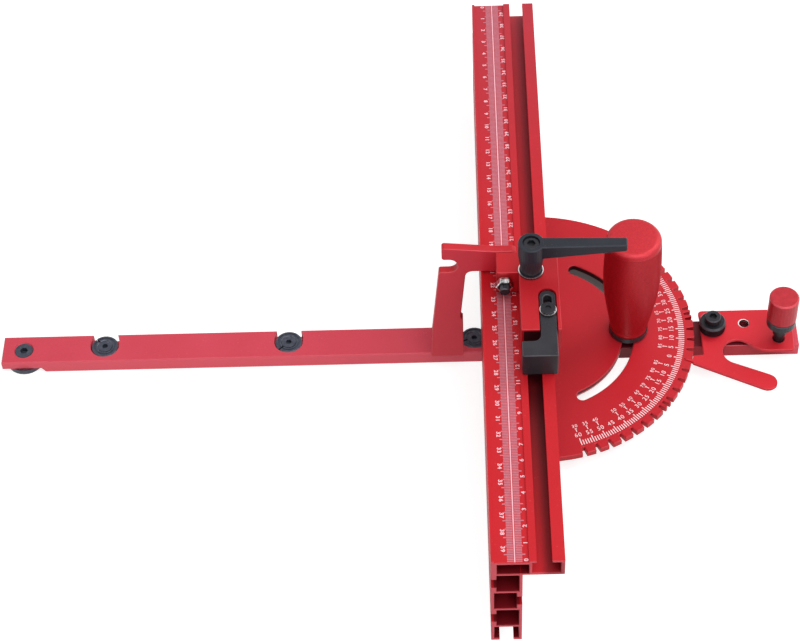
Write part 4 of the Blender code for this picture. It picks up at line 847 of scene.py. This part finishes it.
# spanner pits in the expansion discs
pits = {"radius": 0.00050, "rim": 0.00014, "orbit": 0.0046, "angles": (75.0, 255.0), "proud": 0.00006,
        "around": 16}


def makePits():
    for name in ("expansion_disc_left", "expansion_disc_middle", "expansion_disc_right"):
        middle, top = middleOf(name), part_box(name)[1][2]
        profile = [(pits["radius"] - pits["rim"], top, 0), (pits["radius"], top + pits["proud"], 0),
                   (pits["radius"] + pits["rim"], top, 0)]
        bm = bmesh.new()
        for angle in pits["angles"]:
            turn = math.radians(angle)
            spot = (middle[0] + pits["orbit"] * math.cos(turn), middle[1] + pits["orbit"] * math.sin(turn))
            addTurned(bm, spot, profile, pits["around"])
        meshPiece(name.replace("expansion_disc", "spannerPits"), bm, "cupBlack", "bar", smooth=True)


makePits()
print("small pieces made")


# floor, light and camera
stageLook = {"size": 4.0, "depth": -0.0002, "paint": (0.45, 0.45, 0.45, 1), "rough": 0.9, "glow": 0.78,
             "shadowPaint": (0.16, 0.16, 0.165, 1), "shadowGlow": 0.05, "coverDistance": 0.04,
             "coverFrom": 0.25, "coverTo": 0.6, "underLow": (-0.012, 0.006, -0.01),
             "underHigh": (0.056, 0.068, 0.01), "underSoft": (0.004, 0.004, 0.004)}


def seenDirectly(tree, x, y):       # 1 for the camera's own rays, also through glass and in reflections
    rays = addNode(tree, "LightPath", (x, y)).outputs
    clear = mathStep(tree, (x + 200, y), "MAXIMUM", rays["Is Camera Ray"], rays["Is Transmission Ray"])
    return mathStep(tree, (x + 350, y), "MAXIMUM", clear, rays["Is Glossy Ray"])


def makeStage():        # a pale floor, with a painted shadow under the head, where the arc slot shows it from close above
    bm = bmesh.new()
    bmesh.ops.create_grid(bm, x_segments=1, y_segments=1, size=stageLook["size"])
    mesh = bpy.data.meshes.new("paleFloor")
    bm.to_mesh(mesh)
    bm.free()
    floor = bpy.data.objects.new("paleFloor", mesh)
    floor.location = (0, 0, stageLook["depth"])
    scene.collection.objects.link(floor)
    material, tree, shader = newMaterial("floorWhite", 0.0, stageLook["paint"])
    under = placeGroup(tree, insideBox, (-700, -450), {
        "Low": stageLook["underLow"], "High": stageLook["underHigh"], "Soft": stageLook["underSoft"]})["Mask"]
    near = addNode(tree, "AmbientOcclusion", (-900, -700), {"Distance": stageLook["coverDistance"]})
    covered = mapStep(tree, (-700, -700), near.outputs["AO"], stageLook["coverFrom"], stageLook["coverTo"],
                      1.0, 0.0)
    paintedShadow = mathStep(tree, (-500, -700), "MULTIPLY", under, covered)
    # painted shadow: the floor's paint and glow darkened where the head covers it
    paint = mixColours(tree, (-300, 200), paintedShadow, stageLook["paint"], stageLook["shadowPaint"])
    glow = mapStep(tree, (-500, -450), paintedShadow, 0.0, 1.0, stageLook["glow"], stageLook["shadowGlow"])
    strength = mathStep(tree, (-300, -200), "MULTIPLY", seenDirectly(tree, -900, -200), glow)
    for label, value in (("Base Color", paint), ("Roughness", stageLook["rough"]),
                         ("Emission Color", (1, 1, 1, 1)), ("Emission Strength", strength)):
        feed(tree, shader.inputs[label], value)
    mesh.materials.append(material)


makeStage()

worldLook = {"leftLit": 0.26, "rightLit": 0.58, "seen": 1.0}


def makeWorld():        # white where it is seen, and dimmer light from the left than from the right
    world = bpy.data.worlds.new("studio")
    scene.world = world
    world.use_nodes = True
    tree = world.node_tree
    tree.nodes.clear()
    spot = addNode(tree, "TexCoord", (-500, -100)).outputs["Generated"]
    parts = addNode(tree, "SeparateXYZ", (-350, -100), {0: spot}).outputs
    side = mapStep(tree, (-150, -100), parts["X"], -1.0, 1.0, worldLook["leftLit"], worldLook["rightLit"])
    lit = addNode(tree, "Background", (200, -100), {"Color": (1, 1, 1, 1), "Strength": side})
    seen = addNode(tree, "Background", (200, 100), {"Color": (1, 1, 1, 1), "Strength": worldLook["seen"]})
    mix = addNode(tree, "MixShader", (400, 0), {
        "Fac": seenDirectly(tree, -300, 200), 1: lit.outputs[0], 2: seen.outputs[0]})
    addNode(tree, "OutputWorld", (600, 0), {"Surface": mix.outputs[0]})


makeWorld()

lampAim = (0, 0, 0.03)
lamps = {
    "backRightBox": {"place": (1.0, 0.5, 1.3), "size": (1.0, 1.0), "watts": 12.0},
    "overhead": {"place": (0.1, -0.6, 1.6), "size": (1.2, 1.2), "watts": 15.0},
    "frontRight": {"place": (1.0, -1.2, 0.9), "size": (1.0, 1.0), "watts": 3.0},
}
for name, lamp in lamps.items():
    light = bpy.data.lights.new(name, "AREA")
    light.shape = "RECTANGLE"
    light.size, light.size_y = lamp["size"]
    light.energy = lamp["watts"]
    holder = bpy.data.objects.new(name, light)
    holder.location = lamp["place"]
    holder.rotation_euler = (Vector(lampAim) - Vector(lamp["place"])).to_track_quat("-Z", "Y").to_euler()
    scene.collection.objects.link(holder)

cameraSetting = {"place": (-0.0450, -0.8113, 0.9909), "yaw": -2.2237, "pitch": 49.9381, "roll": -3.0721,
                 "lens": 101.26, "sensor": 36.0, "nearest": 0.01, "farthest": 20.0}


def makeCamera():
    yaw, pitch, roll = (math.radians(cameraSetting[key]) for key in ("yaw", "pitch", "roll"))
    ahead = Vector((math.sin(yaw) * math.cos(pitch), math.cos(yaw) * math.cos(pitch), -math.sin(pitch)))
    level = Vector((math.cos(yaw), -math.sin(yaw), 0))
    upright = level.cross(ahead)
    right = level * math.cos(roll) + upright * math.sin(roll)
    up = upright * math.cos(roll) - level * math.sin(roll)
    data = bpy.data.cameras.new("photoCamera")
    data.lens = cameraSetting["lens"]
    data.sensor_width = cameraSetting["sensor"]
    data.sensor_fit = "HORIZONTAL"
    data.clip_start = cameraSetting["nearest"]
    data.clip_end = cameraSetting["farthest"]
    camera = bpy.data.objects.new("photoCamera", data)
    turn = Matrix((right, up, -ahead)).transposed().to_4x4()
    camera.matrix_world = Matrix.Translation(cameraSetting["place"]) @ turn
    scene.collection.objects.link(camera)
    scene.camera = camera


makeCamera()
scene.view_settings.view_transform = "Standard"
print("stage set")
